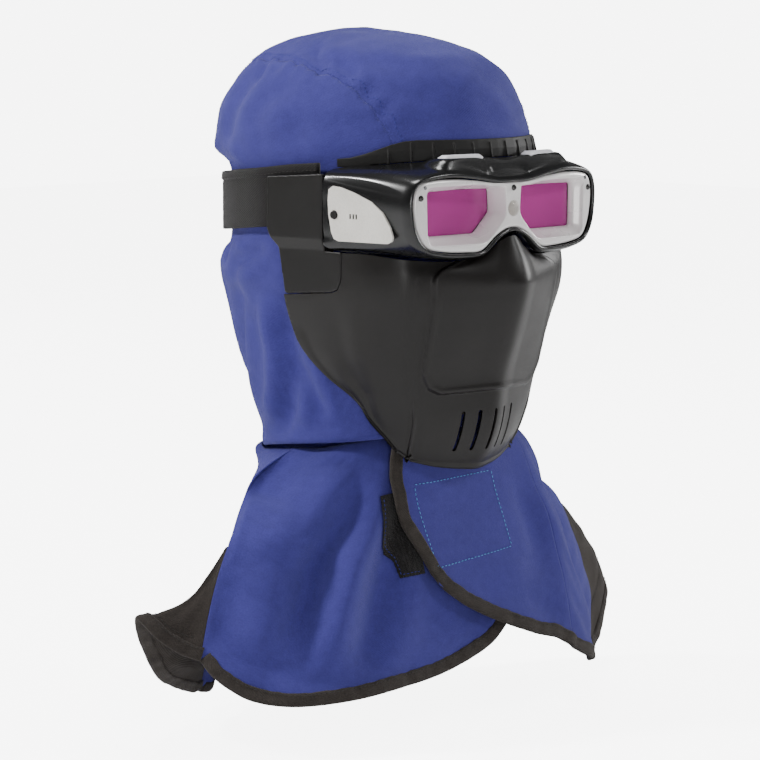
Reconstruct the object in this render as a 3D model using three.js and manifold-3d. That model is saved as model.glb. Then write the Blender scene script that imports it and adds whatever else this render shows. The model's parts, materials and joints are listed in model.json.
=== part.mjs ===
// Auto-darkening welding goggles with a lower face mask, worn over a fabric head cover with a wrap-round bib.
// Millimetres, +Z up, the wearer faces -Y, +X is the wearer's left. The origin is the centre of the head at eye height.
import * as THREE from "three";
import Module from "manifold-3d";
import { mergeVertices } from "three/addons/utils/BufferGeometryUtils.js";

const wasm = await Module();
wasm.setup();

// ---------- driving dimensions ----------
const GAP = 0.3; // gap kept between pieces that touch
const CLOTH = 2.0; // thickness of the fabric solids
const BIND_W = 8; // width of the edge binding
const UNDER = 5.4; // how far the right bib panel lies under the flap
const STRAP_C = 9; // y of the centre of the head strap's round back
const STRAP_R = 90.6; // its inside radius
const STRAP_T = 2.2;
const STRAP_W = 36;
const WALL = 2.6; // goggle housing wall
const MASK_T = 2.2; // mask wall
const BUTTON_Y = -101.8; // centre of the top buttons, from the origin
const SIDE_SLOPE = 7 / 59; // taper of the goggle sides in plan
// Head cover cross-sections: z, half width, y of the widest point, length in front, length behind, front and back exponents
const HOOD = [
  [106.5, 6, 24, 14, 8, 2, 2],
  [104, 24, 22, 42, 27, 2, 2],
  [99, 42, 19, 65, 47, 2, 2],
  [90, 60, 15, 85, 70, 2.05, 2],
  [75, 76, 12, 97, 88, 2.05, 2.02],
  [55, 86, 10, 102.5, 102, 2.05, 2.02],
  [34, 88.5, 9, 107, 105, 2.05, 2.02],
  [24, 88, 9, 107, 90, 2.05, 2],
  [16, 87.5, 9, 105, 86.5, 2.05, 2],
  [-16, 87.5, 9, 96, 86.5, 2.1, 2],
  [-26, 87.5, 9, 90, 88.5, 2.1, 2],
  [-40, 87, 9, 86, 98, 2.1, 2],
  [-60, 84.5, 8, 82, 94, 2.15, 2],
  [-90, 81, 5, 76, 89.5, 2.2, 2],
  [-120, 79, 0, 68, 84, 2.3, 2],
  [-140, 79, -4, 62, 76, 2.4, 2],
  [-150, 81, -6, 60, 77, 2.45, 2],
];
// Bib, half sections of the wearer's right and left front: z, then x and y of five points from the front centre to the shoulder seam
const FRONT_R = [
  [-150, 0, -66, 29, -64, 56, -54.5, 75, -35, 81, 0],
  [-163, 0, -68.3, 34, -66.5, 66, -57, 90, -35, 104, 3],
  [-178, 0, -71, 38, -69, 75, -59, 105, -37, 122, -3],
  [-200, 0, -75.5, 42.5, -73, 86, -63, 124, -42, 148, -18],
  [-235, 0, -81.5, 47.5, -79, 95, -68, 137, -46, 164.5, -20],
  [-270, 0, -87.5, 50, -86, 100, -75, 145, -51, 174, -21],
  [-315, 0, -95, 53, -94, 106, -82, 152, -56, 181, -22],
];
const FRONT_L = [
  [-150, 0, -66, 29, -64, 56, -55, 76, -37, 83, -2],
  [-163, 0, -68.3, 35, -68, 69, -61.5, 93, -44.5, 104, -6],
  [-178, 0, -71, 38, -71, 77, -64.5, 107, -41, 120, -8],
  [-200, 0, -75.5, 43, -75, 87, -68, 119, -43.5, 144, -17],
  [-235, 0, -81.5, 48, -81.5, 96, -73, 134, -47.5, 160, -20],
  [-270, 0, -87.5, 51, -88, 102, -79, 143, -51.5, 171, -21],
  [-315, 0, -95, 53, -95.5, 105, -84, 146.5, -50, 175, -21],
];
// Back centre of the bib: z, y
const BACK_Y = [[-150, 72], [-163, 75], [-178, 77], [-200, 81], [-235, 88], [-270, 94], [-315, 100]];
const SPLIT = 0.42; // where the flap folds on the left front
// Free edge of the flap, then the hems: position across the front, z
const FLAP_EDGE = [[-0.405, -150.6], [-0.394, -165], [-0.357, -176.4], [-0.3, -194.7], [-0.252, -204.9], [-0.202, -217.8], [-0.153, -230.2]];
const FLAP_HEM = [[-0.153, -230.2], [-0.1, -237.4], [-0.03, -245.8], [0.064, -254.9], [0.173, -264], [0.261, -270.3], [0.35, -275.5], [SPLIT, -284]];
const LEFT_HEM = [[SPLIT, -284], [0.522, -293], [0.7, -303], [0.85, -309], [1, -311]];
const RIGHT_HEM = [[0.18, -254], [0.081, -269.5], [-0.011, -276.3], [-0.147, -282.7], [-0.341, -287.1], [-0.507, -290.6], [-0.654, -292], [-0.76, -289.4], [-0.846, -284.7], [-0.939, -275], [-1, -264.5]];
// Shoulder gussets: apex, rim from the front seam over the shoulder to the back seam, and how far the cloth sags between them
const GUSSET_R = { side: -1, apex: [147, -17.6, -198], sag: 14, rim: [[173.6, -21, -264.5], [183, -13, -259.5], [195, -4, -248], [199, 6, -237.5], [186, 19, -253], [166, 30, -276], [148, 39, -290], [118, 50, -302], [100, 58, -306]] };
const GUSSET_L = { side: 1, apex: [146, -17.4, -204], sag: -12, rim: [[174.6, -21, -311], [190, -14, -305], [207, -5, -290], [219, 4, -273], [214, 18, -268], [196, 31, -280], [172, 42, -292], [140, 50, -302], [112, 57, -306]] };

// ---------- geometry helpers ----------
const V = (x, y, z) => new THREE.Vector3(x, y, z);
const clamp = (x, a, b) => Math.max(a, Math.min(b, x));
const smooth = (a, b, x) => {
  const t = clamp((x - a) / (b - a), 0, 1);
  return t * t * (3 - 2 * t);
};
const lin = (a, b, n) => Array.from({ length: n + 1 }, (_, i) => a + ((b - a) * i) / n);
const mix = (a, b, t) => a.map((x, i) => x + (b[i] - x) * t);
// Rows [key, ...values] interpolated by a Hermite curve with limited slopes.
function table(rows, key) {
  const r = rows[0][0] < rows[rows.length - 1][0] ? rows : [...rows].reverse();
  const n = r.length;
  let i = 0;
  while (i < n - 2 && key > r[i + 1][0]) i++;
  const a = r[i],
    b = r[i + 1],
    h = b[0] - a[0],
    t = clamp((key - a[0]) / h, 0, 1);
  const out = [];
  for (let c = 1; c < a.length; c++) {
    const d = (b[c] - a[c]) / h;
    const dp = i > 0 ? (a[c] - r[i - 1][c]) / (a[0] - r[i - 1][0]) : d;
    const dn = i < n - 2 ? (r[i + 2][c] - b[c]) / (r[i + 2][0] - b[0]) : d;
    const m0 = dp * d <= 0 ? 0 : (2 * dp * d) / (dp + d);
    const m1 = dn * d <= 0 ? 0 : (2 * dn * d) / (dn + d);
    const t2 = t * t,
      t3 = t2 * t;
    out.push((2 * t3 - 3 * t2 + 1) * a[c] + (t3 - 2 * t2 + t) * h * m0 + (-2 * t3 + 3 * t2) * b[c] + (t3 - t2) * h * m1);
  }
  return out;
}
// Open Catmull-Rom curve through points, x from 0 to the number of spans; before replaces the point before the first.
function curve(pts, x, before = null) {
  const n = pts.length - 1,
    i = Math.min(Math.floor(clamp(x, 0, n)), n - 1),
    t = clamp(x, 0, n) - i;
  const ext = (a, b) => a.map((v, k) => 2 * v - b[k]);
  const p1 = pts[i],
    p2 = pts[i + 1],
    p0 = i > 0 ? pts[i - 1] : before || ext(pts[0], pts[1]),
    p3 = i + 2 <= n ? pts[i + 2] : ext(pts[n], pts[n - 1]);
  return p1.map((_, c) => 0.5 * (2 * p1[c] + (p2[c] - p0[c]) * t + (2 * p0[c] - 5 * p1[c] + 4 * p2[c] - p3[c]) * t * t + (3 * p1[c] - p0[c] - 3 * p2[c] + p3[c]) * t ** 3));
}
const sgnPow = (x, p) => Math.sign(x) * Math.abs(x) ** p;
function ring(rows, phi, z) {
  const [a, yc, bf, bb, nf, nb] = table(rows, z);
  const c = Math.cos(phi),
    s = Math.sin(phi),
    n = c >= 0 ? nf : nb,
    b = c >= 0 ? bf : bb;
  return V(a * sgnPow(s, 2 / n), yc - b * sgnPow(c, 2 / n), z);
}
function normalAt(f, u, v, h = 1e-3) {
  const du = f(u + h, v).sub(f(u - h, v)),
    dv = f(u, v + h).sub(f(u, v - h));
  return du.cross(dv).normalize();
}
function solid(g) {
  const c = new THREE.BufferGeometry();
  c.setAttribute("position", (g.index ? g.toNonIndexed() : g).getAttribute("position"));
  const m = mergeVertices(c, 1e-4);
  const mk = (tri) => new wasm.Manifold(new wasm.Mesh({ numProp: 3, vertProperties: m.attributes.position.array, triVerts: tri }));
  let s = mk(new Uint32Array(m.index.array));
  if (s.volume() < 0) {
    const t = new Uint32Array(m.index.array);
    for (let i = 0; i < t.length; i += 3) [t[i + 1], t[i + 2]] = [t[i + 2], t[i + 1]];
    s = mk(t);
  }
  return s;
}
const main = (m) => m.decompose().sort((a, b) => b.volume() - a.volume())[0];
function geometry(m) {
  const q = m.getMesh(),
    n = q.numProp,
    v = new Float32Array(q.numVert * 3);
  for (let i = 0; i < q.numVert; i++) v.set(q.vertProperties.subarray(i * n, i * n + 3), i * 3);
  const g = new THREE.BufferGeometry();
  g.setAttribute("position", new THREE.BufferAttribute(v, 3));
  g.setIndex(new THREE.BufferAttribute(new Uint32Array(q.triVerts), 1));
  return g;
}
function mesh3(pos, idx) {
  const g = new THREE.BufferGeometry();
  g.setAttribute("position", new THREE.Float32BufferAttribute(pos, 3));
  g.setIndex(idx);
  return solid(g);
}
// Closed solid between two grids of points with the same layout.
function between(A, B, closed = false) {
  const nu = A.length,
    nv = A[0].length,
    pos = [],
    idx = [];
  for (const G of [A, B]) for (const row of G) for (const p of row) pos.push(p.x, p.y, p.z);
  const id = (g, i, j) => g * nu * nv + (i % nu) * nv + j;
  const quad = (a, b, c, d) => idx.push(a, b, c, a, c, d);
  const mu = closed ? nu : nu - 1;
  for (let i = 0; i < mu; i++)
    for (let j = 0; j < nv - 1; j++) {
      quad(id(0, i, j), id(0, i + 1, j), id(0, i + 1, j + 1), id(0, i, j + 1));
      quad(id(1, i, j), id(1, i, j + 1), id(1, i + 1, j + 1), id(1, i + 1, j));
    }
  for (let i = 0; i < mu; i++) {
    quad(id(0, i, 0), id(1, i, 0), id(1, i + 1, 0), id(0, i + 1, 0));
    quad(id(0, i, nv - 1), id(0, i + 1, nv - 1), id(1, i + 1, nv - 1), id(1, i, nv - 1));
  }
  if (!closed)
    for (let j = 0; j < nv - 1; j++) {
      quad(id(0, 0, j), id(0, 0, j + 1), id(1, 0, j + 1), id(1, 0, j));
      quad(id(0, nu - 1, j), id(1, nu - 1, j), id(1, nu - 1, j + 1), id(0, nu - 1, j + 1));
    }
  return mesh3(pos, idx);
}
// Normals of a grid of points, by finite differences.
function gridNormals(G) {
  const nu = G.length,
    nv = G[0].length;
  return G.map((row, i) =>
    row.map((_, j) => {
      const du = G[Math.min(i + 1, nu - 1)][j].clone().sub(G[Math.max(i - 1, 0)][j]),
        dv = G[i][Math.min(j + 1, nv - 1)].clone().sub(G[i][Math.max(j - 1, 0)]);
      return du.cross(dv).normalize();
    }),
  );
}
// Sheet of the given thickness whose outer face is the grid (or off away from it); out points to the outside.
function sheet(G, thick, off = 0, out = null) {
  const N = gridNormals(G);
  const mid = G[G.length >> 1][G[0].length >> 1],
    n = N[G.length >> 1][G[0].length >> 1];
  const s = (out ? n.dot(out) : n.dot(V(mid.x, mid.y + 10, 0))) < 0 ? -1 : 1;
  const o = typeof off === "function" ? off : () => off;
  const mk = (d) => G.map((r, i) => r.map((p, j) => p.clone().addScaledVector(N[i][j], s * (o(p) + d))));
  return between(mk(0), mk(-thick));
}
function prism(points, axis, lo, hi) {
  const g = new THREE.ExtrudeGeometry(new THREE.Shape(points.map((p) => new THREE.Vector2(p[0], p[1]))), { depth: hi - lo, bevelEnabled: false, steps: 1 });
  if (axis === "z") g.translate(0, 0, lo);
  if (axis === "y") g.rotateX(Math.PI / 2).translate(0, hi, 0);
  if (axis === "x") g.applyMatrix4(new THREE.Matrix4().makeBasis(V(0, 1, 0), V(0, 0, 1), V(1, 0, 0))).translate(lo, 0, 0);
  return solid(g);
}
const rectY = (x0, z0, x1, z1, y0, y1) => prism([[x0, z0], [x1, z0], [x1, z1], [x0, z1]], "y", y0, y1);
function loft(loops) {
  const pos = [],
    idx = [],
    n = loops[0].length;
  for (const L of loops) for (const p of L) pos.push(...p);
  for (let k = 0; k < loops.length - 1; k++)
    for (let i = 0; i < n; i++) {
      const a = k * n + i,
        b = k * n + ((i + 1) % n),
        c = (k + 1) * n + ((i + 1) % n),
        d = (k + 1) * n + i;
      idx.push(a, b, c, a, c, d);
    }
  const cap = (L, base, rev) => {
    const q = L.map((p) => new THREE.Vector2(p[0], p[2]));
    const area = THREE.ShapeUtils.area(q);
    const faces = THREE.ShapeUtils.triangulateShape(area > 0 ? q : [...q].reverse(), []);
    for (const f of faces) {
      const [a, b, c] = area > 0 ? f : f.map((k) => n - 1 - k);
      const flip = area > 0 ? rev : !rev;
      flip ? idx.push(base + c, base + b, base + a) : idx.push(base + a, base + b, base + c);
    }
  };
  cap(loops[0], 0, true);
  cap(loops[loops.length - 1], (loops.length - 1) * n, false);
  return mesh3(pos, idx);
}
const roundRect = (w, h, r, n = 3, cx = 0, cy = 0) => {
  const out = [];
  for (const [sx, sy, a0] of [[1, 1, 0], [-1, 1, 90], [-1, -1, 180], [1, -1, 270]])
    for (let i = 0; i <= n; i++) {
      const a = ((a0 + (90 * i) / n) * Math.PI) / 180;
      out.push([cx + sx * (w / 2 - r) + r * Math.cos(a), cy + sy * (h / 2 - r) + r * Math.sin(a)]);
    }
  return out;
};
const circle = (r, n = 16, cx = 0, cy = 0) => Array.from({ length: n }, (_, i) => [cx + r * Math.cos((2 * Math.PI * i) / n), cy + r * Math.sin((2 * Math.PI * i) / n)]);
const mirrorHalf = (half) => [...half, ...half.slice(1, -1).reverse().map((p) => [-p[0], ...p.slice(1)])];
// Outline moved outwards (w > 0) or inwards in its own plane.
function grow(P, w) {
  const n = P.length,
    area = P.reduce((s, p, i) => s + p[0] * P[(i + 1) % n][1] - p[1] * P[(i + 1) % n][0], 0),
    k = area > 0 ? 1 : -1;
  return P.map((p, i) => {
    const a = P[(i + n - 1) % n],
      b = P[(i + 1) % n];
    const u = [p[0] - a[0], p[1] - a[1]],
      v = [b[0] - p[0], b[1] - p[1]];
    const lu = Math.hypot(...u) || 1,
      lv = Math.hypot(...v) || 1;
    const nx = u[1] / lu + v[1] / lv,
      ny = -(u[0] / lu + v[0] / lv),
      l = Math.hypot(nx, ny) || 1;
    const cosHalf = Math.max(0.5, l / 2);
    return [p[0] + (k * w * nx) / l / cosHalf, p[1] + (k * w * ny) / l / cosHalf];
  });
}
const subdivide = (pts, k) => {
  const n = pts.length,
    out = [];
  for (let i = 0; i < n; i++) for (let s = 0; s < k; s++) out.push(curve([pts[(i + n - 1) % n], pts[i], pts[(i + 1) % n], pts[(i + 2) % n]], 1 + s / k));
  return out;
};
const mirrorX = (m) => m.mirror([1, 0, 0]);

const root = new THREE.Group();
const mats = {
  fabric_blue: [0x2e3192, 0.92, 0],
  fabric_black: [0x2a2523, 0.95, 0],
  elastic: [0x1c1a19, 0.95, 0],
  shell_black: [0x161616, 0.38, 0],
  mask_black: [0x2b2926, 0.5, 0],
  seal_rubber: [0x24231f, 0.8, 0],
  silver: [0xd4d3cf, 0.35, 0.3],
  lens: [0xc05a9c, 0.15, 0],
  lens_clear: [0xdfe6e6, 0.1, 0],
  white_button: [0xf0f0f2, 0.4, 0],
  electronics: [0x1d5a3a, 0.6, 0],
  metal: [0x9a9a9a, 0.3, 0.9],
  battery: [0xb8bcc0, 0.4, 0.4],
};
function add(name, m, slot) {
  const [c, r, k] = mats[slot];
  const mesh = new THREE.Mesh(geometry(main(m)), new THREE.MeshStandardMaterial({ color: c, roughness: r, metalness: k }));
  mesh.name = name;
  mesh.userData.slot = slot;
  root.add(mesh);
}
function pair(name, m, slot) {
  // m is the wearer's left one
  add(name + "_left", m, slot);
  add(name + "_right", mirrorX(m), slot);
}

// ---------- head cover ----------
const TAU = 2 * Math.PI;
const hoodF = (phi, z) => ring(HOOD, phi, z);
const HOOD_Z = [106.3, 103.5, 98, 89, 75, 55, 37, 25, 16, -5, -17, -28, -42, -68, -98, -127, -150 + GAP];
function rings(off, drop = 0) {
  const N = 36,
    pos = [],
    idx = [],
    m = HOOD_Z.length;
  for (let i = 0; i < N; i++) {
    const p = (TAU * i) / N;
    HOOD_Z.forEach((z, j) => {
      const q = hoodF(p, z),
        n = normalAt(hoodF, p, clamp(z, -149, 104.5));
      q.addScaledVector(n, off);
      pos.push(q.x, q.y, j === m - 1 ? z - drop : q.z);
    });
  }
  for (let i = 0; i < N; i++)
    for (let j = 0; j < m - 1; j++) {
      const a = i * m + j,
        b = ((i + 1) % N) * m + j;
      idx.push(a, a + 1, b + 1, a, b + 1, b);
    }
  for (const [j, top] of [[0, true], [m - 1, false]]) {
    const ci = pos.length / 3;
    let sx = 0, sy = 0, sz = 0;
    for (let i = 0; i < N; i++) (sx += pos[(i * m + j) * 3] / N), (sy += pos[(i * m + j) * 3 + 1] / N), (sz += pos[(i * m + j) * 3 + 2] / N);
    pos.push(sx, sy, sz);
    for (let i = 0; i < N; i++) {
      const a = i * m + j,
        b = ((i + 1) % N) * m + j;
      top ? idx.push(ci, a, b) : idx.push(ci, b, a);
    }
  }
  return mesh3(pos, idx);
}
const FACE = [[0, 20], [30, 19], [55, 13], [70, -2], [76, -30], [75, -60], [68, -88], [52, -108], [28, -119], [0, -122]];
const faceLoop = (w) => grow(subdivide(mirrorHalf(FACE), 2), w);
const SEAM = [[60, -135], [59, -72], [64, -58], [66, -40], [66, -15], [63, 20], [54, 50], [44, 80], [40, 130]];
const seamPoly = (w) => {
  const r = lin(0, SEAM.length - 1, 14).map((x) => curve(SEAM, x)).map(([x, y]) => [x + w, y]);
  return [...r, ...r.map(([x, y]) => [-x, y]).reverse()];
};
{
  const shell = rings(0).subtract(rings(-CLOTH, 14));
  const fabric = shell.subtract(prism(faceLoop(7 + GAP), "y", -160, -5));
  const region = (w) => prism(seamPoly(w), "z", -160, 130).intersect(rectY(-200, -14 - w, 200, 130, -200, 200).add(rectY(-200, -160, 200, 0, 20 - w, 200)));
  add("hood_crown_panel", fabric.intersect(region(0)), "fabric_blue");
  const rest = fabric.subtract(region(GAP));
  add("hood_side_panel_right", rest.intersect(rectY(-300, -300, -GAP / 2, 300, -300, 300)), "fabric_blue");
  add("hood_side_panel_left", rest.intersect(rectY(GAP / 2, -300, 300, 300, -300, 300)), "fabric_blue");
  add("face_opening_binding", rings(0.7).subtract(rings(-2.7, 14)).intersect(prism(faceLoop(7), "y", -160, -5)).subtract(prism(faceLoop(0), "y", -161, -4)), "fabric_black");
}

// ---------- bib ----------
const half5 = (rows, z) => {
  const v = table(rows, z);
  return [0, 1, 2, 3, 4].map((i) => [v[2 * i], v[2 * i + 1]]);
};
function frontF(s, z) {
  // s runs from -1 at the right shoulder seam to 1 at the left one
  const p = half5(s < 0 ? FRONT_R : FRONT_L, z),
    o = half5(s < 0 ? FRONT_L : FRONT_R, z);
  const [x, y] = curve(p, Math.abs(s) * 4, [-o[1][0], o[1][1]]);
  return V(s < 0 ? -x : x, y, z);
}
// Back edge of the shoulder seam at height z: the front seam down to the gusset apex, then the back seam of the gusset.
function backSeam(g, z) {
  if (z >= g.apex[2]) return half5(g.side < 0 ? FRONT_R : FRONT_L, z)[4];
  const e = g.rim[g.rim.length - 1],
    k = clamp((g.apex[2] - z) / (g.apex[2] - e[2]), 0, 1.1);
  return [g.apex[0] + (e[0] - g.apex[0]) * k, g.apex[1] + (e[1] - g.apex[1]) * k + 4 * k];
}
function backF(s, z) {
  // s runs from 0 at the left seam over 1 at the back centre to 2 at the right seam
  const yb = table(BACK_Y, z)[0];
  const quarter = (g) => {
    const [x, y] = backSeam(g, z);
    const k = smooth(-150, -166, z);
    return [[1, 0, 1, 0], [0.93, 0.42, 0.8, 0.32], [0.75, 0.75, 0.57, 0.62], [0.42, 0.94, 0.3, 0.87], [0, 1, 0, 1]].map(([a, b, c, d]) => [g.side * x * (a + (c - a) * k), y + (yb - y) * (b + (d - b) * k)]);
  };
  const pts = [...quarter(GUSSET_L), ...quarter(GUSSET_R).slice(0, -1).reverse()];
  const [x, y] = curve(pts, s * 4);
  return V(x, y, z);
}
// Patch on f between four borders given as functions of 0..1 returning [s, z].
const cells = (n, first, last) => {
  // 0..1 in n cells; the first and last cells are the given fractions, or even when left out
  const a = first || 0, b = last || 0, m = n - (a ? 1 : 0) - (b ? 1 : 0);
  return [...(a ? [0] : []), ...lin(a, 1 - b, m), ...(b ? [1] : [])];
};
function patch(f, top, bottom, left, right, nu, nv) {
  nu = Array.isArray(nu) ? nu : lin(0, 1, nu);
  nv = Array.isArray(nv) ? nv : lin(0, 1, nv);
  const c00 = left(0), c10 = right(0), c01 = left(1), c11 = right(1);
  return nu.map((s) =>
    nv.map((t) => {
      const p = [0, 1].map((k) => (1 - s) * left(t)[k] + s * right(t)[k] + (1 - t) * top(s)[k] + t * bottom(s)[k] - ((1 - s) * (1 - t) * c00[k] + s * (1 - t) * c10[k] + (1 - s) * t * c01[k] + s * t * c11[k]));
      return f(p[0], p[1]);
    }),
  );
}
const along = (rows) => (x) => curve(rows, x * (rows.length - 1));
const line = (a, b) => (x) => mix(a, b, x);
// Moves the chosen borders of a grid inwards by w, measured square to the border.
function inset(G, w, sides) {
  const nu = G.length,
    nv = G[0].length,
    R = G.map((r) => r.map((p) => p.clone()));
  const pull = (i, j, k, l, T) => {
    const d = G[k][l].clone().sub(G[i][j]),
      len = d.length();
    d.normalize();
    const sq = Math.max(0.45, d.clone().cross(T.normalize()).length());
    R[i][j].addScaledVector(d, Math.min(w / sq, 0.92 * len));
  };
  const tu = (i, j) => G[Math.min(i + 1, nu - 1)][j].clone().sub(G[Math.max(i - 1, 0)][j]),
    tv = (i, j) => G[i][Math.min(j + 1, nv - 1)].clone().sub(G[i][Math.max(j - 1, 0)]);
  if (sides.includes("b")) for (let i = 0; i < nu; i++) pull(i, nv - 1, i, nv - 2, tu(i, nv - 1));
  if (sides.includes("l")) for (let j = 0; j < nv; j++) pull(0, j, 1, j, tv(0, j));
  if (sides.includes("r")) for (let j = 0; j < nv; j++) pull(nu - 1, j, nu - 2, j, tv(nu - 1, j));
  return R;
}
// Cloth with its bound edges cut back to clear the binding.
const cloth = (G, thick, off, out, sides, path) => sheet(inset(G, BIND_W - 2, sides), thick, off, out).subtract(bindingAlong(path, GAP)).subtract(bindingAlong(path));
// Edge binding: a flat tube along a border of a grid, given as pairs [border point, next point inwards, normal].
function bindingAlong(path0, extra = 0) {
  // the two ends stop short of the neighbouring piece
  const path = path0.map((q) => [...q]);
  const m0 = path.length - 1;
  for (const [i, k] of [[0, 1], [m0, m0 - 1]]) {
    const d = path0[k][0].clone().sub(path0[i][0]).setLength(extra ? -0.6 : 0.7);
    path[i][0] = path[i][0].clone().add(d);
    path[i][1] = path[i][1].clone().add(d);
  }
  const loops = path.map(([p, q, n, corner], i) => {
    const d = q.clone().sub(p),
      T = path[Math.min(i + 1, path.length - 1)][0].clone().sub(path[Math.max(i - 1, 0)][0]).normalize();
    d.addScaledVector(T, -d.dot(T)).normalize();
    if (corner) d.multiplyScalar(corner);
    const at = (a, b) => p.clone().addScaledVector(d, a).addScaledVector(n, b);
    const w = BIND_W + extra,
      h = 0.8 + extra;
    return [at(0.2 - extra, -0.1), at(0.9 - extra, h), at(w - 0.8, h), at(w, 0.1 + extra), at(w, -CLOTH - 0.1 - extra), at(w - 0.8, -CLOTH - h), at(0.9 - extra, -CLOTH - h), at(0.2 - extra, -CLOTH + 0.1)];
  });
  const pos = [],
    idx = [],
    n = 8,
    m = loops.length;
  for (const L of loops) for (const p of L) pos.push(p.x, p.y, p.z);
  for (let k = 0; k < m - 1; k++)
    for (let i = 0; i < n; i++) {
      const a = k * n + i,
        b = k * n + ((i + 1) % n);
      idx.push(a, b, b + n, a, b + n, a + n);
    }
  for (let i = 1; i < n - 1; i++) idx.push(0, i + 1, i), idx.push((m - 1) * n, (m - 1) * n + i, (m - 1) * n + i + 1);
  return mesh3(pos, idx);
}
function border(G, side, off = 0, sgn = 1) {
  const N = gridNormals(G),
    nu = G.length,
    nv = G[0].length,
    P = [];
  const o = typeof off === "function" ? off : () => off;
  const push = (i, j, k, l) => {
    const n = N[i][j].clone().multiplyScalar(sgn);
    P.push([G[i][j].clone().addScaledVector(n, o(G[i][j])), G[k][l].clone().addScaledVector(n, o(G[i][j])), n]);
  };
  if (side === "b") for (let i = 0; i < nu; i++) push(i, nv - 1, i, nv - 2);
  if (side === "l") for (let j = 0; j < nv; j++) push(0, j, 1, j);
  if (side === "r") for (let j = 0; j < nv; j++) push(nu - 1, j, nu - 2, j);
  return P;
}
const ZT = -150 - GAP;
const facing = (G, d) => (gridNormals(G)[G.length >> 1][G[0].length >> 1].dot(d) < 0 ? -1 : 1);
const outward = (G) => facing(G, V(0, -1, 0));
{
  // right front panel, lying under the flap near the middle
  const under = (p) => -UNDER * smooth(-98, -58, p.x);
  const seamR = (t) => [-1, ZT + (RIGHT_HEM[10][1] - ZT) * t];
  const G = patch(frontF, (s) => [0.18 - 1.18 * s, ZT], (s) => along(RIGHT_HEM)(s), line([0.18, ZT], RIGHT_HEM[0]), (t) => seamR(t), 22, cells(8, 0, 0.13));
  const k = outward(G);
  add("bib_panel_right", cloth(inset(G, 1.6, "r"), CLOTH, under, V(0, -1, 0), "b", border(G, "b", under, k)), "fabric_blue");
  add("hem_binding_right", bindingAlong(border(G, "b", under, k)), "fabric_black");
  // flap
  const F = patch(frontF, line([FLAP_EDGE[0][0], FLAP_EDGE[0][1]], [SPLIT - 0.004, FLAP_EDGE[0][1]]), along(FLAP_HEM), along(FLAP_EDGE), line([SPLIT - 0.004, FLAP_EDGE[0][1]], [SPLIT - 0.004, -284]), cells(10, 0.16, 0), cells(9, 0, 0.15));
  const kf = outward(F);
  const L = border(F, "l", 0, kf),
    Bm = border(F, "b", 0, kf);
  // the corner point takes the mean direction
  const c = L[L.length - 1],
    dir = c[1].clone().sub(c[0]).normalize().add(Bm[0][1].clone().sub(Bm[0][0]).normalize()).normalize();
  const corner = [c[0], c[0].clone().add(dir), c[2], 1.15];
  const edge = [...L.slice(0, -1), corner, ...Bm.slice(1)];
  add("bib_flap", cloth(F, CLOTH, 0, V(0, -1, 0), "bl", edge), "fabric_blue");
  add("flap_binding", bindingAlong(edge), "fabric_black");
  // left front panel
  const H = patch(frontF, line([SPLIT + 0.004, ZT], [1, ZT]), along(LEFT_HEM.map(([s, z], i) => [i ? s : s + 0.004, z])), line([SPLIT + 0.004, ZT], [SPLIT + 0.004, -284]), (t) => [1, ZT + (LEFT_HEM[4][1] - ZT) * t], 9, cells(8, 0, 0.13));
  add("bib_panel_left", main(cloth(inset(H, 0.8, "r"), CLOTH, 0, V(0, -1, 0), "b", border(H, "b", 0, outward(H))).subtract(bindingAlong(edge, GAP))), "fabric_blue");
  add("hem_binding_left", bindingAlong(border(H, "b", 0, outward(H))), "fabric_black");
  // back panel
  const e = 0.02;
  const zb = -306;
  const K = patch(backF, line([e, ZT], [2 - e, ZT]), (s) => [e + (2 - 2 * e) * s, zb + 3 * Math.sin(Math.PI * s)], (t) => [e, ZT + (zb - ZT) * t], (t) => [2 - e, ZT + (zb - ZT) * t], 20, cells(8, 0, 0.13));
  let back = cloth(K, CLOTH, 0, V(0, 1, 0), "b", border(K, "b", 0, facing(K, V(0, 1, 0))));
  add("hem_binding_back", bindingAlong(border(K, "b", 0, facing(K, V(0, 1, 0)))), "fabric_black");
  // shoulder gussets
  for (const q of [GUSSET_R, GUSSET_L]) {
    const R = q.rim.map(([x, y, z]) => [q.side * x, y, z]),
      A = V(q.side * q.apex[0], q.apex[1], q.apex[2]);
    const F0 = V(...R[0]),
      F1 = V(...R[R.length - 1]);
    const g = (s, t) => {
      const E = V(...curve(R, s * (R.length - 1)));
      const fr = frontF(q.side, A.z + (F0.z - A.z) * t),
        bk = backF(q.side > 0 ? 0 : 2, A.z + (F1.z - A.z) * t);
      const p = A.clone().lerp(E, t).addScaledVector(fr.sub(A.clone().lerp(F0, t)), (1 - s) ** 3).addScaledVector(bk.sub(A.clone().lerp(F1, t)), s ** 3);
      p.z -= q.sag * Math.sin(Math.PI * t) * Math.sin(Math.PI * s);
      p.x += q.side * 1.4;
      return p;
    };
    const G = lin(0, 1, 12).map((s) => [0.12, 0.28, 0.44, 0.6, 0.78, 1].map((t) => g(s, t)));
    const inner = inset(inset(G, 0.8, "l"), 0.8, "r"),
      up = V(q.side, 0, 0.8);
    const name = q.side > 0 ? "left" : "right";
    add("gusset_" + name, cloth(inner, CLOTH, 0, up, "b", border(inner, "b", 0, facing(inner, up))), "fabric_black");
    const rim = border(inner, "b", 0, facing(inner, up));
    add("gusset_rim_" + name, bindingAlong(rim), "fabric_black");
    back = back.subtract(bindingAlong(rim, GAP));
  }
  add("bib_back_panel", main(back), "fabric_blue");
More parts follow.
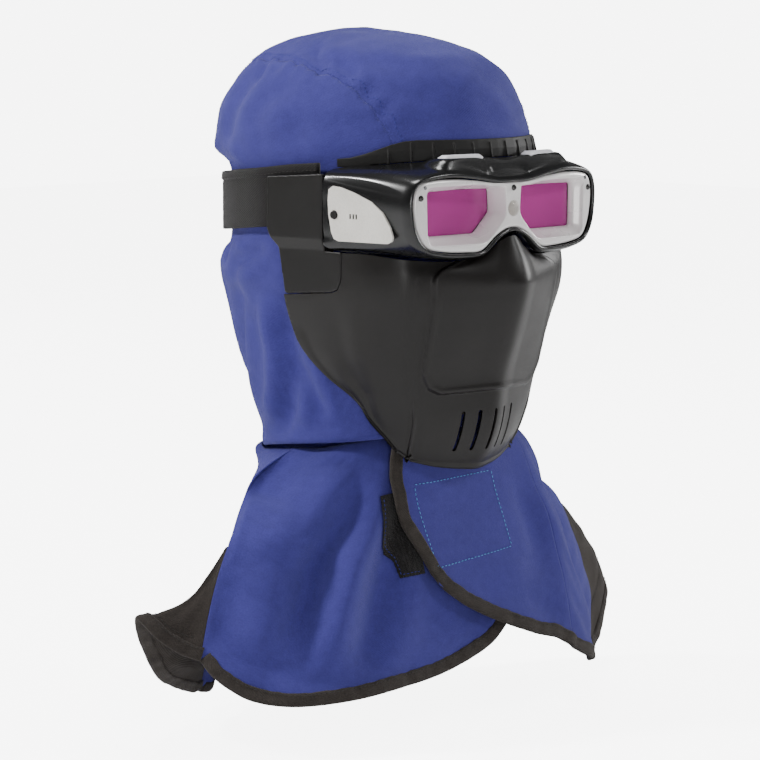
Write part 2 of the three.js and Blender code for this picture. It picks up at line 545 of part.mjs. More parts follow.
  // hook and loop: the loop strip on the right panel, the hook patch inside the flap
  const loop = patch(frontF, line([-0.424, -173], [-0.26, -171]), line([-0.313, -222.5], [-0.19, -222]), line([-0.424, -173], [-0.313, -222.5]), line([-0.26, -171], [-0.19, -222]), 4, 6);
  add("loop_strip", sheet(loop, 0.8, (p) => under(p) + 2.0, V(0, -1, 0)), "fabric_black");
  const hook = patch(frontF, line([-0.26, -170], [0.18, -168]), line([-0.13, -213], [0.2, -212]), line([-0.26, -170], [-0.13, -213]), line([0.18, -168], [0.2, -212]), 5, 5);
  add("hook_patch", sheet(hook, 0.7, -CLOTH - GAP, V(0, -1, 0)), "fabric_black");
}

// ---------- head strap ----------
const strapMid = (y) => 7 - 0.1 * y;
function strapPath(n, y0 = -34) {
  // from the wearer's right front, round the back, to the left front
  const P = [];
  const side = (x) => [x, y0];
  const half = [];
  half.push([86.4, y0, 0.985], [89.6, -14, 0.995]);
  for (const a of lin(0, 90, n)) {
    const r = STRAP_R + STRAP_T / 2;
    half.push([r * Math.cos((a * Math.PI) / 180), STRAP_C + r * Math.sin((a * Math.PI) / 180), 1]);
  }
  return [...half, ...half.slice(0, -1).reverse().map((p) => [-p[0], p[1], p[2]])].map((p) => [p[0], p[1]]);
}
function ribbon(path, thick, zlo, zhi, cham = 0.3) {
  const n = path.length,
    A = [],
    B = [];
  path.forEach((p, i) => {
    const a = path[Math.max(i - 1, 0)],
      b = path[Math.min(i + 1, n - 1)];
    const d = V(b[0] - a[0], b[1] - a[1], 0).normalize(),
      nn = V(d.y, -d.x, 0);
    const zs = lin(zlo(p), zhi(p), 2);
    A.push(zs.map((z) => V(p[0], p[1], z).addScaledVector(nn, thick / 2)));
    B.push(zs.map((z) => V(p[0], p[1], z).addScaledVector(nn, -thick / 2)));
  });
  return between(A, B);
}
add("head_strap", ribbon(strapPath(10), STRAP_T, (p) => strapMid(p[1]) - STRAP_W / 2, (p) => strapMid(p[1]) + STRAP_W / 2), "elastic");
{
  // adjusting slider on the back of the strap, to the wearer's left
  const a0 = 52, a1 = 66, loops = [];
  const ring2 = (zl, zh, r0, r1) => {
    const A = [], B = [];
    for (const a of lin(a0, a1, 4)) {
      const c = Math.cos((a * Math.PI) / 180), s = Math.sin((a * Math.PI) / 180);
      const at = (r, z) => V(r * c, STRAP_C + r * s, z);
      A.push([at(r1, zl), at(r1, zh)]);
      B.push([at(r0, zl), at(r0, zh)]);
    }
    return between(A, B);
  };
  const z0 = strapMid(STRAP_C + 80) - STRAP_W / 2;
  const outer = ring2(z0 - 4, z0 + STRAP_W + 5, STRAP_R - 1.6, STRAP_R + STRAP_T + 2.2);
  const hole = (() => {
    const A = [], B = [];
    for (const a of lin(a0 - 3, a1 + 3, 6)) {
      const c = Math.cos((a * Math.PI) / 180), s = Math.sin((a * Math.PI) / 180);
      const y = STRAP_C + 92 * s;
      const at = (r, z) => V(r * c, STRAP_C + r * s, z);
      A.push([at(STRAP_R + STRAP_T + GAP, strapMid(y) - STRAP_W / 2 - GAP), at(STRAP_R + STRAP_T + GAP, strapMid(y) + STRAP_W / 2 + GAP)]);
      B.push([at(STRAP_R - GAP, strapMid(y) - STRAP_W / 2 - GAP), at(STRAP_R - GAP, strapMid(y) + STRAP_W / 2 + GAP)]);
    }
    return between(A, B);
  })();
  add("strap_slider", outer.subtract(hole), "shell_black");
}

// ---------- goggle housing ----------
const frontY = (x) => -113 + 0.00113 * x * x;
// Half outlines in front view, top centre to bottom centre
const BEZEL = [[0, 16.6], [14, 16.8], [32, 19], [50, 20.2], [66, 19.6], [74.5, 17], [77.8, 10], [77.6, 0], [74.5, -11.5], [68, -20], [56, -22.8], [38, -24], [26, -23.4], [14.5, -15.5], [6, -11.6], [0, -10.8]];
const RIMO = [[0, 19.8], [14, 20.2], [32, 23.5], [50, 25.8], [67, 24], [78.5, 19.5], [83.2, 10.5], [83.2, -2], [80.5, -14], [72, -23], [57, -27], [38, -28.2], [24, -26.6], [12.5, -18.6], [5.5, -15], [0, -14]];
const REAR = [[0, 31, -102.6], [15, 31, -101.2], [33, 30.6, -95.6], [52, 29.5, -83.8], [70, 27.5, -62], [84, 25, -44], [91, 19, -42], [91.4, 2, -42.3], [90.7, -14, -49], [86, -21.5, -54], [66, -26.5, -72], [42, -27.5, -86], [26, -26, -93], [13.5, -19, -98.5], [6, -15.6, -100.5], [0, -14.6, -101]];
const LIFT = [0.75, 0.75, 0.7, 0.6, 0.5, 0.5, 0.5, 0.5, 0.5, 0.5, 0.5, 0.5, 0.5, 0.5, 0.5, 0.5];
function station(t) {
  // t 0 at the rim crest, 0.15 at the outer edge of the rim, 1 at the rear edge
  return BEZEL.map((b, i) => {
    const r = RIMO[i],
      e = REAR[i];
    if (t <= 0.15) {
      const k = t / 0.15;
      const q = mix([b[0] + (r[0] - b[0]) * 0.45, b[1] + (r[1] - b[1]) * 0.45], r, k);
      return [q[0], frontY(q[0]) - 0.8 + 4.3 * k * k, q[1]];
    }
    const k = (t - 0.15) / 0.85,
      y0 = frontY(r[0]) + 3.5;
    const kz = k < 0.5 ? (LIFT[i] * k) / 0.5 : LIFT[i] + ((1 - LIFT[i]) * (k - 0.5)) / 0.5;
    return [r[0] + (e[0] - r[0]) * k, y0 + (e[2] - y0) * k, r[1] + (e[1] - r[1]) * kz];
  });
}
const loop3 = (half) => [...half, ...half.slice(1, -1).reverse().map(([x, y, z]) => [-x, y, z])];
function insetLoop(half, w, dy = 0) {
  const full = loop3(half);
  const g = grow(full.map((p) => [p[0], p[2]]), -w);
  return full.map((p, i) => [g[i][0], p[1] + dy, g[i][1]]);
}
const bezelLoop = mirrorHalf(BEZEL);
{
  const outer = loft([insetLoop(station(0), 1.3, 0.9), loop3(station(0)), loop3(station(0.15)), loop3(station(0.4)), loop3(station(0.7)), loop3(station(1))]);
  const cavity = loft([
    insetLoop(station(0.15).map(([x, y, z]) => [x, Math.max(-97.5, frontY(x) + 11), z]), WALL),
    insetLoop(station(0.7).map(([x, y, z]) => [x, Math.max(y, -97.5 + 0.02 * Math.abs(x)), z]), WALL),
    insetLoop(station(1), WALL, 0.4),
    insetLoop(station(1), WALL, 14),
  ]);
  const behind = (a, b, side, lo, hi) => {
    const c = REAR.slice(a, b).map((e) => [e[0], e[2]]).sort((p, q) => p[0] - q[0]);
    const edge = [[...c.map(([x, y]) => [-x, y])].reverse(), c.filter(([x]) => x > 0)].flat();
    return prism([...edge, [side, 60], [-side, 60]], "z", lo, hi);
  };
  const carrierOut = [[-67, 15.9], [67, 15.9], [67, -16.6], [21, -16.6], [5, -3.6], [-5, -3.6], [-21, -16.6], [-67, -16.6]];
  let h = outer.subtract(cavity).subtract(behind(0, 6, 84, 15, 60)).subtract(behind(10, 16, 66, -60, -12)).subtract(prism(grow(carrierOut, 0.35), "y", -100.8, -60)).subtract(prism(grow(bezelLoop, GAP), "y", -130, -100.4)).subtract(prism(grow(bezelLoop, -2.5), "y", -131, -80));
  // top button pockets and side plate pockets are cut below
  const pocket = (s, w, zlo, zhi) => prism(roundRect(32 + 2 * w, 8.5 + 2 * w, 3.5 + w, 3).map(([x, y]) => [s * (34 + x), BUTTON_Y + y + (x * x) / 260 + 0.16 * x]), "z", zlo, zhi);
  const hole = pocket(1, 0.35, 24, 60);
  const stemHole = (s) => prism(circle(2.3, 12, s * 34, BUTTON_Y), "z", 10, 60);
  h = h.subtract(hole.intersect(prism([[-300, -300], [300, -300], [300, 300], [-300, 300]], "z", 29.4, 60))).subtract(mirrorX(hole.intersect(prism([[-300, -300], [300, -300], [300, 300], [-300, 300]], "z", 29.4, 60))));
  h = h.subtract(stemHole(1)).subtract(stemHole(-1));
  // side plates, in the plane of the goggle side
  const plateOut = [[-50, 15.5], [-46.8, 13.2], [-46.2, 7.1], [-46.7, -1.7], [-48.9, -12.5], [-50.9, -16.2], [-54.3, -17.4], [-91, -17.2], [-94.4, -15.6], [-95.2, -13.2], [-93.2, -7.5], [-87.6, 0.9], [-79.1, 7.2], [-66.4, 12], [-56, 14.9]];
  const SA = -Math.atan(SIDE_SLOPE);
  const sideFrame = (m) => m.transform([Math.cos(SA), Math.sin(SA), 0, 0, -Math.sin(SA), Math.cos(SA), 0, 0, 0, 0, 1, 0, 91.2, -45, 0, 1]);
  
  // local frame: x outwards from the side face, y along it
  const local = (poly) => poly.map(([y, z]) => [(y + 45) / Math.cos(SA), z]);
  const plate = (w, lo, hi) => sideFrame(prism(grow(local(plateOut), w), "x", lo, hi));
  h = h.subtract(plate(GAP, -1.4, 6)).subtract(mirrorX(plate(GAP, -1.4, 6)));
  const testHole = (r, lo, hi) => mirrorX(sideFrame(prism(circle(r, 16, (-51.1 + 45) / Math.cos(SA), -1.7), "x", lo, hi)));
  h = h.subtract(testHole(1.5, -6, 3));
  add("goggle_housing", h, "shell_black");
  add("side_plate_left", plate(0, -1.1, 0.35), "silver");
  const bars = [-63.3, -65.7, -67.9];
  const bar = (y, w, lo, hi) => mirrorX(sideFrame(prism([[(y - 0.45 - w + 45) / Math.cos(SA), -3.6 - w], [(y + 0.45 + w + 45) / Math.cos(SA), -3.6 - w], [(y + 0.45 + w + 45) / Math.cos(SA), -0.8 + w], [(y - 0.45 - w + 45) / Math.cos(SA), -0.8 + w]], "x", lo, hi)));
  let pr = mirrorX(plate(0, -1.1, 0.35)).subtract(testHole(2.75, -3, 3));
  for (const y of bars) pr = pr.subtract(bar(y, 0.12, -3, 3));
  add("side_plate_right", pr, "silver");
  bars.forEach((y, i) => add(`charge_bar_${i + 1}`, bar(y, -0.02, -1.1, 0.4), "lens_clear"));
  add("test_button", testHole(2.4, -0.9, 1.3).add(testHole(1.2, -4.6, -0.8)), "shell_black");
  // brackets carrying the strap
  const br = (() => {
    const prof = [[0, 30], [0, -17], [-2, -23.6], [-2, -60], [-4.4, -60], [-4.4, -22.5], [-3, -18.5], [-3, 30]];
    const bar2 = sideFrame(prism(prof, "y", -20, 60).translate([0, 0, 0]));
    const out = [[-41.4, 22.3], [1.2, 19.4], [1.6, -12], [-0.5, -17], [-5.5, -23], [-7, -30], [-10.3, -50], [-12, -51.4], [-46, -48.8], [-50.5, -47], [-53.3, -42], [-53.8, -36], [-53.8, -24.4], [-41.4, -24.2]];
    return bar2.intersect(prism(out, "x", 60, 120));
  })();
  pair("side_bracket", br, "shell_black");
  // bezel
  const win = [[9.5, 12.6], [36, 13.4], [62.6, 13], [63.6, 11.5], [63.2, -12.6], [61.8, -13.8], [23, -13.9], [20.8, -13], [9.2, -2], [8.6, 0]];
  const winBig = [[7.2, 15.2], [36, 16.2], [67, 15.8], [69, 13], [68.2, -14.6], [65.5, -18.6], [25, -18.8], [20, -17], [7.4, -4.6], [6, -1]];
  const bez = (() => {
    const f = insetLoop(BEZEL.map(([x, z]) => [x, 0, z]), 0);
    const L = (w, y) => grow(f.map((p) => [p[0], p[2]]), -w).map((q) => [q[0], y ?? frontY(q[0]), q[1]]);
    const m = L(2.2, null), o = L(0, null).map((p) => [p[0], p[1] + 1.6, p[2]]), b = L(0, -100.9);
    return loft([m, o, b]);
  })();
  const cone = (s) => {
    const a = winBig.map(([x, z]) => [s * x, -116, z + 0]), a2 = winBig.map(([x, z]) => [s * x, frontY(x) + 1.0, z]), b = win.map(([x, z]) => [s * x, -102, z]), c = win.map(([x, z]) => [s * x, -99, z]);
    return loft([a, a2, b, c]);
  };
  let bm = bez.subtract(cone(1)).subtract(cone(-1));
  const holeY = (r, x, z, lo, hi, n = 14) => prism(circle(r, n, x, z), "y", lo, hi);
  bm = bm.subtract(holeY(2.2, 0, 13.2, -120, -100)).subtract(holeY(2.2, 73.6, 9.8, -120, -98)).subtract(holeY(2.2, -73.6, 9.8, -120, -98)).subtract(holeY(4.8, 0, 0.8, -120, -98, 20));
  bm = bm.subtract(holeY(1.5, 70.5, 16, -120, -98)).subtract(holeY(1.5, -70.5, 16, -120, -98));
  add("front_bezel", bm, "silver");
  const dome = (r, x, y, z, d, seg = 14, k = 0.75) => {
    // shallow dome facing -Y on a short barrel
    const prof = [[0, -r * k], [r * 0.5, -r * k * 0.85], [r * 0.85, -r * k * 0.45], [r, 0], [r, d], [0, d]];
    const L = prof.slice(1, -1).map(([q, yy]) => circle(q, seg).map(([a, b]) => [x + a, y + yy, z + b]));
    return loft(L);
  };
  add("arc_sensor_centre", dome(1.9, 0, -113.2, 13.2, 11), "shell_black");
  add("arc_sensor_left", dome(1.9, 73.6, -107, 9.8, 5.5), "shell_black");
  add("arc_sensor_right", dome(1.9, -73.6, -107, 9.8, 5.5), "shell_black");
  add("bezel_screw_left", dome(1.2, 70.5, -107.6, 16, 6, 10, 0.4), "metal");
  add("bezel_screw_right", dome(1.2, -70.5, -107.6, 16, 6, 10, 0.4), "metal");
  add("work_light_lens", dome(4.4, 0, -112.6, 0.8, 7, 18, 0.5), "lens_clear");
  add("work_light_board", prism(roundRect(9, 12, 1, 2, 0, 3), "y", -100.4, -99.2).add(rectY(-1.6, -0.8, 1.6, 2.4, -102.4, -100.3)), "electronics");
  // lens stack behind the bezel windows
  const pane = (w, y0, y1, s = 1) => prism(grow([[8.2, 13.8], [64.4, 14.4], [64.4, -15], [22.2, -15], [7.4, -2.4]], w), "y", y0, y1);
  pair("cover_lens", pane(0.6, -100.6, -99.4), "lens_clear");
  pair("shutter_filter", pane(-1.2, -99.1, -94.2), "lens");
  pair("inner_lens", pane(0.6, -92.6, -91.4), "lens_clear");
  const carrier = prism(carrierOut, "y", -98.9, -92.9).subtract(pane(-0.9, -110, -80)).subtract(mirrorX(pane(-0.9, -110, -80)));
  add("filter_carrier", carrier, "shell_black");
  // electronics inside the side walls
  add("main_board", mirrorX(sideFrame(prism([[-40, 10], [-12, 10], [-12, -10], [-40, -10]], "x", -9.4, -8))), "electronics");
  add("test_switch", mirrorX(sideFrame(prism([[-9, 1.2], [-3.4, 1.2], [-3.4, -4.6], [-9, -4.6]], "x", -7.4, -5))), "electronics");
  add("battery_cell", sideFrame(prism(roundRect(30, 20, 2, 2, -26, 0), "x", -12.6, -7.4)), "battery");
  // buttons on top
  const button = (s) => {
    const foot = roundRect(31, 7.5, 3.2, 3).map(([x, y]) => [34 + x, BUTTON_Y + y + (x * x) / 260 + 0.16 * x]);
    const topp = roundRect(26, 5, 2.3, 3).map(([x, y]) => [34 + x, BUTTON_Y + y + (x * x) / 260 + 0.16 * x]);
    const mk = (P, z) => P.map(([x, y]) => [x, y, z]);
    const lo = mk(foot, 30.9), mid = mk(foot, 32.2), hi = mk(topp, 33.9);
    const all = (L) => {
      const n = L[0].length, pos = [], idx = [];
      for (const l of L) for (const p of l) pos.push(...p);
      for (let k = 0; k < L.length - 1; k++) for (let i = 0; i < n; i++) {
        const a = k * n + i, b = k * n + ((i + 1) % n);
        idx.push(a, b, b + n, a, b + n, a + n);
      }
      for (let i = 1; i < n - 1; i++) idx.push(0, i + 1, i), idx.push((L.length - 1) * n, (L.length - 1) * n + i, (L.length - 1) * n + i + 1);
      return mesh3(pos, idx);
    };
    return all([lo, mid, hi]).add(prism(circle(1.9, 12, 34, BUTTON_Y), "z", 26.2, 31.2));
  };
  pair("shade_button", button(1), "white_button");
  // brow seal: a flange hugging the forehead with ribs in front of it
  const wallF = (phi, z, off) => {
    const p = hoodF(phi, z), n = normalAt(hoodF, phi, z);
    n.z = 0;
    return p.addScaledVector(n.normalize(), off);
  };
  const half = 62 * (Math.PI / 180);
  const topZ = (phi) => 42.4 - 11.5 * smooth(0.55, 1, Math.abs(phi) / half);
  const A = [], B = [];
  for (const phi of lin(-half, half, 26)) {
    const zt = topZ(phi);
    const zs = [26, 31, (31 + zt) / 2, zt];
    A.push(zs.map((z, j) => wallF(phi, z, j === 3 ? 2.2 : 2.7)));
    B.push(zs.map((z) => wallF(phi, z, 1.2)));
  }
  let seal = between(A, B);
  for (const a of [-46, -38, -30, -22, -14, -6, 2, 10, 18, 26, 34, 42].map((x) => x + 2)) {
    const phi = (a * Math.PI) / 180, p = wallF(phi, 32, 1.6), n = normalAt(hoodF, phi, 32).setZ(0).normalize(), s = V(-n.y, n.x, 0);
    const zt = topZ(phi) - 1;
    const w = 0.55, L = 2.7;
    const tri = [[0, 26], [L + 0.4, 26], [L, 31.4], [0.4, zt]];
    const loops = [-w, w].map((d) => tri.map(([r, z]) => {
      const q = p.clone().setZ(z).addScaledVector(n, r).addScaledVector(s, d);
      return q;
    }));
    const pos = [], idx = [0, 2, 1, 0, 3, 2, 4, 5, 6, 4, 6, 7];
    for (const l of loops) for (const q of l) pos.push(q.x, q.y, q.z);
    for (let i = 0; i < 4; i++) { const b = (i + 1) % 4; idx.push(i, b, b + 4, i, b + 4, i + 4); }
    seal = seal.add(mesh3(pos, idx));
  }
  const hBody = main(h);
  add("brow_seal", seal.subtract(loft([insetLoop(station(0), -0.3, 0), insetLoop(station(0.15), -GAP), insetLoop(station(0.4), -GAP), insetLoop(station(0.7), -GAP), insetLoop(station(1), -GAP), insetLoop(station(1), -GAP, 0.35)])), "seal_rubber");
  // soft pad round the rear of the housing, against the cheeks and nose
  const padHalf = REAR.map((e, i) => [e[0], e[2], e[1]]);
  const ext = [1.2, 1.2, 1.2, 1.6, 2, 3.5, 4.5, 4.5, 6, 9, 12, 12, 12, 13, 14, 14];
  const ring4 = (w, f) => insetLoop(padHalf.map(([x, y, z], i) => [x, f(y, ext[i]), z]), w);
  const y0 = (y) => Math.max(y - 0.5, -91),
    y1 = (y, e) => Math.max(y + e, y0(y) + 1);
  const tube = (loops) => {
    const n = loops[0].length, m = loops.length, pos = [], idx = [];
    for (const l of loops) for (const q of l) pos.push(...q);
    for (let k = 0; k < m; k++) for (let i = 0; i < n; i++) {
      const a = k * n + i, b = k * n + ((i + 1) % n), c = ((k + 1) % m) * n + ((i + 1) % n), d = ((k + 1) % m) * n + i;
      idx.push(a, b, c, a, c, d);
    }
    return mesh3(pos, idx);
  };
  const pad = tube([ring4(3.4, y0), ring4(4, y1), ring4(7.6, y1), ring4(8.6, y0)]);
  const lower = rectY(-200, -60, 200, 14, -200, 0);
  add("face_pad", pad.intersect(lower), "seal_rubber");
}

// ---------- lower face mask ----------
const MASK = [
  [[0, -112.2, -15.8], [8, -109.6, -18.9], [20, -105.6, -27.2], [38, -100.2, -29.6], [54.6, -94.8, -29.2], [70, -88, -27.6], [82, -71, -25], [88.3, -50, -24.8], [94.2, -6, -24.8]],
  [[0, -120.8, -39], [18, -113, -39], [36, -105.2, -38.5], [54.6, -97, -38], [63, -93.5, -38], [72, -87.5, -38], [82.5, -71.5, -38], [88.3, -50, -38], [94, -9.5, -38]],
  [[0, -120.2, -49], [18, -112, -51], [36, -104, -52], [54.4, -96, -52], [63, -92.3, -52], [71.5, -86, -52], [81.5, -70.5, -52], [87.6, -49.5, -52], [93.8, -10.5, -52]],
  [[0, -112.9, -70], [18, -106.3, -70], [36, -99.4, -70], [53, -92, -70], [60.5, -88, -70], [67.5, -82, -70], [78.5, -67, -70], [85, -48, -70], [90, -13, -70]],
  [[0, -107.2, -86], [17.5, -101, -86], [35, -95, -86], [51.8, -88.2, -86], [58, -84.5, -86], [64, -79, -86], [74.5, -64, -86], [81.5, -45, -86], [85.5, -19.5, -86]],
  [[0, -101.9, -101], [17, -96.5, -101], [34, -91, -101], [50.5, -85, -101], [56, -81, -101], [61, -76, -101], [69, -62, -101], [75.5, -44.5, -101], [78, -31, -101]],
  [[0, -100.4, -115], [16.5, -94.8, -115], [33, -89, -115], [48.8, -82.4, -115], [53.5, -78.5, -115], [57.5, -73.5, -115], [63.5, -61.5, -115], [67.5, -51.5, -115], [68.5, -45.8, -115]],
  [[0, -98.6, -128], [16, -93, -128], [32, -87, -128], [47, -79.6, -128], [51, -75.8, -128], [54.5, -71, -128], [58.5, -63, -128], [61, -56, -128], [62.2, -53.5, -128]],
  [[0, -94.8, -140], [15.7, -89.5, -140], [31, -83.3, -140], [45.8, -75.2, -140], [49.3, -71.8, -140], [52, -68, -139.6], [54.3, -64, -139], [55.2, -62.6, -138.5], [56.4, -60.4, -138]],
  [[0, -88.5, -152], [15.4, -83.8, -151.5], [30.5, -77.8, -150.5], [44.6, -70.5, -148.5], [47.3, -69.2, -147.6], [49.4, -67.9, -146.8], [50.8, -66.8, -146], [51.8, -65.8, -145.3], [52.6, -64.8, -144.8]],
  [[0, -81.6, -160.5], [14.5, -78.4, -159.4], [28.5, -73.8, -157.2], [41.5, -68.6, -153.6], [44, -67.6, -152.2], [46, -66.8, -150.8], [47.7, -66.1, -149.4], [49, -65.5, -148.2], [50, -65, -147.2]],
];
const maskF = (s, t) => {
  // s -1 (wearer's right rear edge) to 1, t 0 top to 1 chin
  const rows = MASK.map((r) => {
    const q = curve(r, Math.abs(s) * 8, [-r[1][0], r[1][1], r[1][2]].map((v, k) => (k === 1 ? 2 * r[0][1] - r[1][1] - (r[0][1] - r[1][1]) * 0.0 : v)));
    return q;
  });
  const [x, y, z] = curve(rows, t * 10);
  return V(Math.sign(s || 1) * x, y, z);
};
{
  const S = [-1, -0.94, -0.875, -0.81, -0.75, -0.69, -0.625, -0.56, -0.5, -0.375, -0.25, -0.125, 0, 0.125, 0.25, 0.375, 0.5, 0.56, 0.625, 0.69, 0.75, 0.81, 0.875, 0.94, 1];
  const G = S.map((s) => lin(0, 1, 12).map((t) => maskF(s, t)));
  let m = sheet(G, MASK_T, 0, V(0, -1, 0));
  const notch = prism([[-54.15, 60], [-54.15, -36], [-53.6, -42.3], [-50.8, -47.4], [-46, -49.2], [-12, -51.8], [20, -54], [20, 60]], "x", 60, 120);
  m = m.subtract(notch).subtract(mirrorX(notch));
  for (const x of [-21, -10.5, 0, 10.5, 21]) m = m.subtract(rectY(x - 0.9, -148, x + 0.9, -122 + 0.045 * x, -130, -74));
  add("mask_shell", m, "mask_black");
}
export default root;
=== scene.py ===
import bpy
import bmesh
import json
import math
import random
import numpy as np
from mathutils import Vector, Matrix, noise
from mathutils.bvhtree import BVHTree

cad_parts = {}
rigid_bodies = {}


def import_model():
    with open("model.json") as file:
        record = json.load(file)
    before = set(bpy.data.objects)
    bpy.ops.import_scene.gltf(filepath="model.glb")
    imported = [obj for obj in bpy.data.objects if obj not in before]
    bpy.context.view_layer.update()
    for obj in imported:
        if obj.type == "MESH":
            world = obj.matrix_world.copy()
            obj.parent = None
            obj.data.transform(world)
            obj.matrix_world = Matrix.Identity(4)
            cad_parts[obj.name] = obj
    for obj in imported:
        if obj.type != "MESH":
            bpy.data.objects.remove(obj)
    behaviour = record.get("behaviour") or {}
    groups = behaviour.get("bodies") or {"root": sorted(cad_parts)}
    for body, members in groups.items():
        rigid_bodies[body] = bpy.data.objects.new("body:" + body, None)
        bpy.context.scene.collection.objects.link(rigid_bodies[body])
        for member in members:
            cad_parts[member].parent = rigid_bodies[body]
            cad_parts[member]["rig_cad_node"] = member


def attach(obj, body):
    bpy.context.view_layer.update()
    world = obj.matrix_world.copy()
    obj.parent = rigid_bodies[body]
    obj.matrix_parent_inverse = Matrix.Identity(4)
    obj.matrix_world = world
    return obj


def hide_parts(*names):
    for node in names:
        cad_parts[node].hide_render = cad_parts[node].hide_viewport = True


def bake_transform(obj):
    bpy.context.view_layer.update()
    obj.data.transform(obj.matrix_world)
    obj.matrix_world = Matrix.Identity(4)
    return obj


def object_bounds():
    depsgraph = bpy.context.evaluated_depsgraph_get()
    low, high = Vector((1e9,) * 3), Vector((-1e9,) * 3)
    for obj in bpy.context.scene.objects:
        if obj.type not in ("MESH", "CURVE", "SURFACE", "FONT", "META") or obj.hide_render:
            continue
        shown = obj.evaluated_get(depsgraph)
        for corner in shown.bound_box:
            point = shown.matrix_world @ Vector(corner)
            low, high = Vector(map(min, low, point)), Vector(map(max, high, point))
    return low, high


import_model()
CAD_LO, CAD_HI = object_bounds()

rnd = random.Random(11)
MM = 0.001
FINE = 0.62


# ------------------------------------------------------------------ maths
def smooth(a, b, x):
    t = np.clip((np.asarray(x, float) - a) / (b - a), 0, 1)
    return t * t * (3 - 2 * t)


def table(rows, key):
    r = np.array(rows, float)
    if r[0, 0] > r[-1, 0]:
        r = r[::-1]
    x, v = r[:, 0], r[:, 1:]
    key = np.asarray(key, float)
    n = len(x)
    i = np.clip(np.searchsorted(x, key, side="left") - 1, 0, n - 2)
    slope = np.diff(v, axis=0) / np.diff(x)[:, None]
    h = (x[i + 1] - x[i])[..., None]
    t = np.clip((key - x[i])[..., None] / h, 0, 1)
    d = slope[i]
    dp = np.where((i > 0)[..., None], slope[np.maximum(i - 1, 0)], d)
    dn = np.where((i < n - 2)[..., None], slope[np.minimum(i + 1, n - 2)], d)

    def lim(a, b):
        s = a + b
        return np.where(a * b <= 0, 0, 2 * a * b / np.where(np.abs(s) < 1e-12, 1, s))

    m0, m1 = lim(dp, d), lim(dn, d)
    t2, t3 = t * t, t**3
    return (2 * t3 - 3 * t2 + 1) * v[i] + (t3 - 2 * t2 + t) * h * m0 + (-2 * t3 + 3 * t2) * v[i + 1] + (t3 - t2) * h * m1


def spline(p, x, before=None):
    """Catmull-Rom through p (..., n, k) at x in 0..n-1; p and x share leading axes, or p is (n, k)."""
    p = np.asarray(p, float)
    x = np.asarray(x, float)
    if p.ndim == 2:
        p = np.broadcast_to(p, x.shape + p.shape)
    n = p.shape[-2] - 1
    first = 2 * p[..., :1, :] - p[..., 1:2, :] if before is None else np.asarray(before, float)[..., None, :]
    last = 2 * p[..., -1:, :] - p[..., -2:-1, :]
    q = np.concatenate([np.broadcast_to(first, last.shape), p, last], axis=-2)
    x = np.clip(x, 0, n)
    i = np.minimum(x.astype(int), n - 1)
    t = (x - i)[..., None]
    g = lambda k: np.take_along_axis(q, (i + k)[..., None, None], axis=-2)[..., 0, :]
    p0, p1, p2, p3 = g(0), g(1), g(2), g(3)
    return 0.5 * (2 * p1 + (p2 - p0) * t + (2 * p0 - 5 * p1 + 4 * p2 - p3) * t * t + (3 * p1 - p0 - 3 * p2 + p3) * t**3)


def seg_dist(P, L):
    """Distance of points (N,2) to a polyline and the place along it, 0..1."""
    P = np.asarray(P, float)
    L = np.asarray(L, float)
    best = np.full(len(P), 1e9)
    where = np.zeros(len(P))
    ln = np.concatenate([[0], np.cumsum(np.linalg.norm(np.diff(L, axis=0), axis=1))])
    for k in range(len(L) - 1):
        a, d = L[k], L[k + 1] - L[k]
        t = np.clip(((P - a) @ d) / (d @ d), 0, 1)
        q = np.linalg.norm(P - a - t[:, None] * d, axis=1)
        m = q < best
        best[m] = q[m]
        where[m] = (ln[k] + t[m] * (ln[k + 1] - ln[k])) / ln[-1]
    return best, where


def crease(P, line, width, depth):
    """A fold along a line: deepest in its middle, fading at both ends."""
    d, w = seg_dist(P, line)
    fade = np.clip(np.minimum(w, 1 - w) * 4 + 0.18, 0, 1)
    q = d / width
    return depth * fade * (np.exp(-q * q) - 0.35 * np.exp(-((q - 2.0) ** 2)))


def wob(P, scale, seed):
    """Smooth noise for points (N,3) in mm; scale is the wavelength in mm."""
    o = Vector((seed * 17.3, seed * 5.1, seed * 9.7))
    return np.array([noise.noise(Vector(p) / scale + o) for p in P])


def normals_of(G, closed=False):
    if closed:
        du = np.roll(G, -1, 0) - np.roll(G, 1, 0)
    else:
        du = np.gradient(G, axis=0)
    dv = np.gradient(G, axis=1)
    n = np.cross(du, dv)
    return n / np.maximum(np.linalg.norm(n, axis=-1, keepdims=True), 1e-9)


def lengths(G, axis):
    d = np.linalg.norm(np.diff(G, axis=axis), axis=-1)
    z = np.zeros_like(np.take(G[..., 0], [0], axis=axis))
    return np.concatenate([z, np.cumsum(d, axis=axis)], axis=axis)


# ------------------------------------------------------------------ meshes
def link(o):
    bpy.context.scene.collection.objects.link(o)
    return o


def make(name, verts, faces, uvs=None, smooth_faces=True):
    me = bpy.data.meshes.new(name)
    me.from_pydata([tuple(v) for v in np.asarray(verts, float) * MM], [], [tuple(int(i) for i in f) for f in faces])
    if uvs is not None:
        layer = me.uv_layers.new(name="UVMap")
        layer.data.foreach_set("uv", np.asarray(uvs, np.float32).ravel())
    if smooth_faces:
        me.polygons.foreach_set("use_smooth", [True] * len(me.polygons))
    me.update()
    return link(bpy.data.objects.new(name, me))


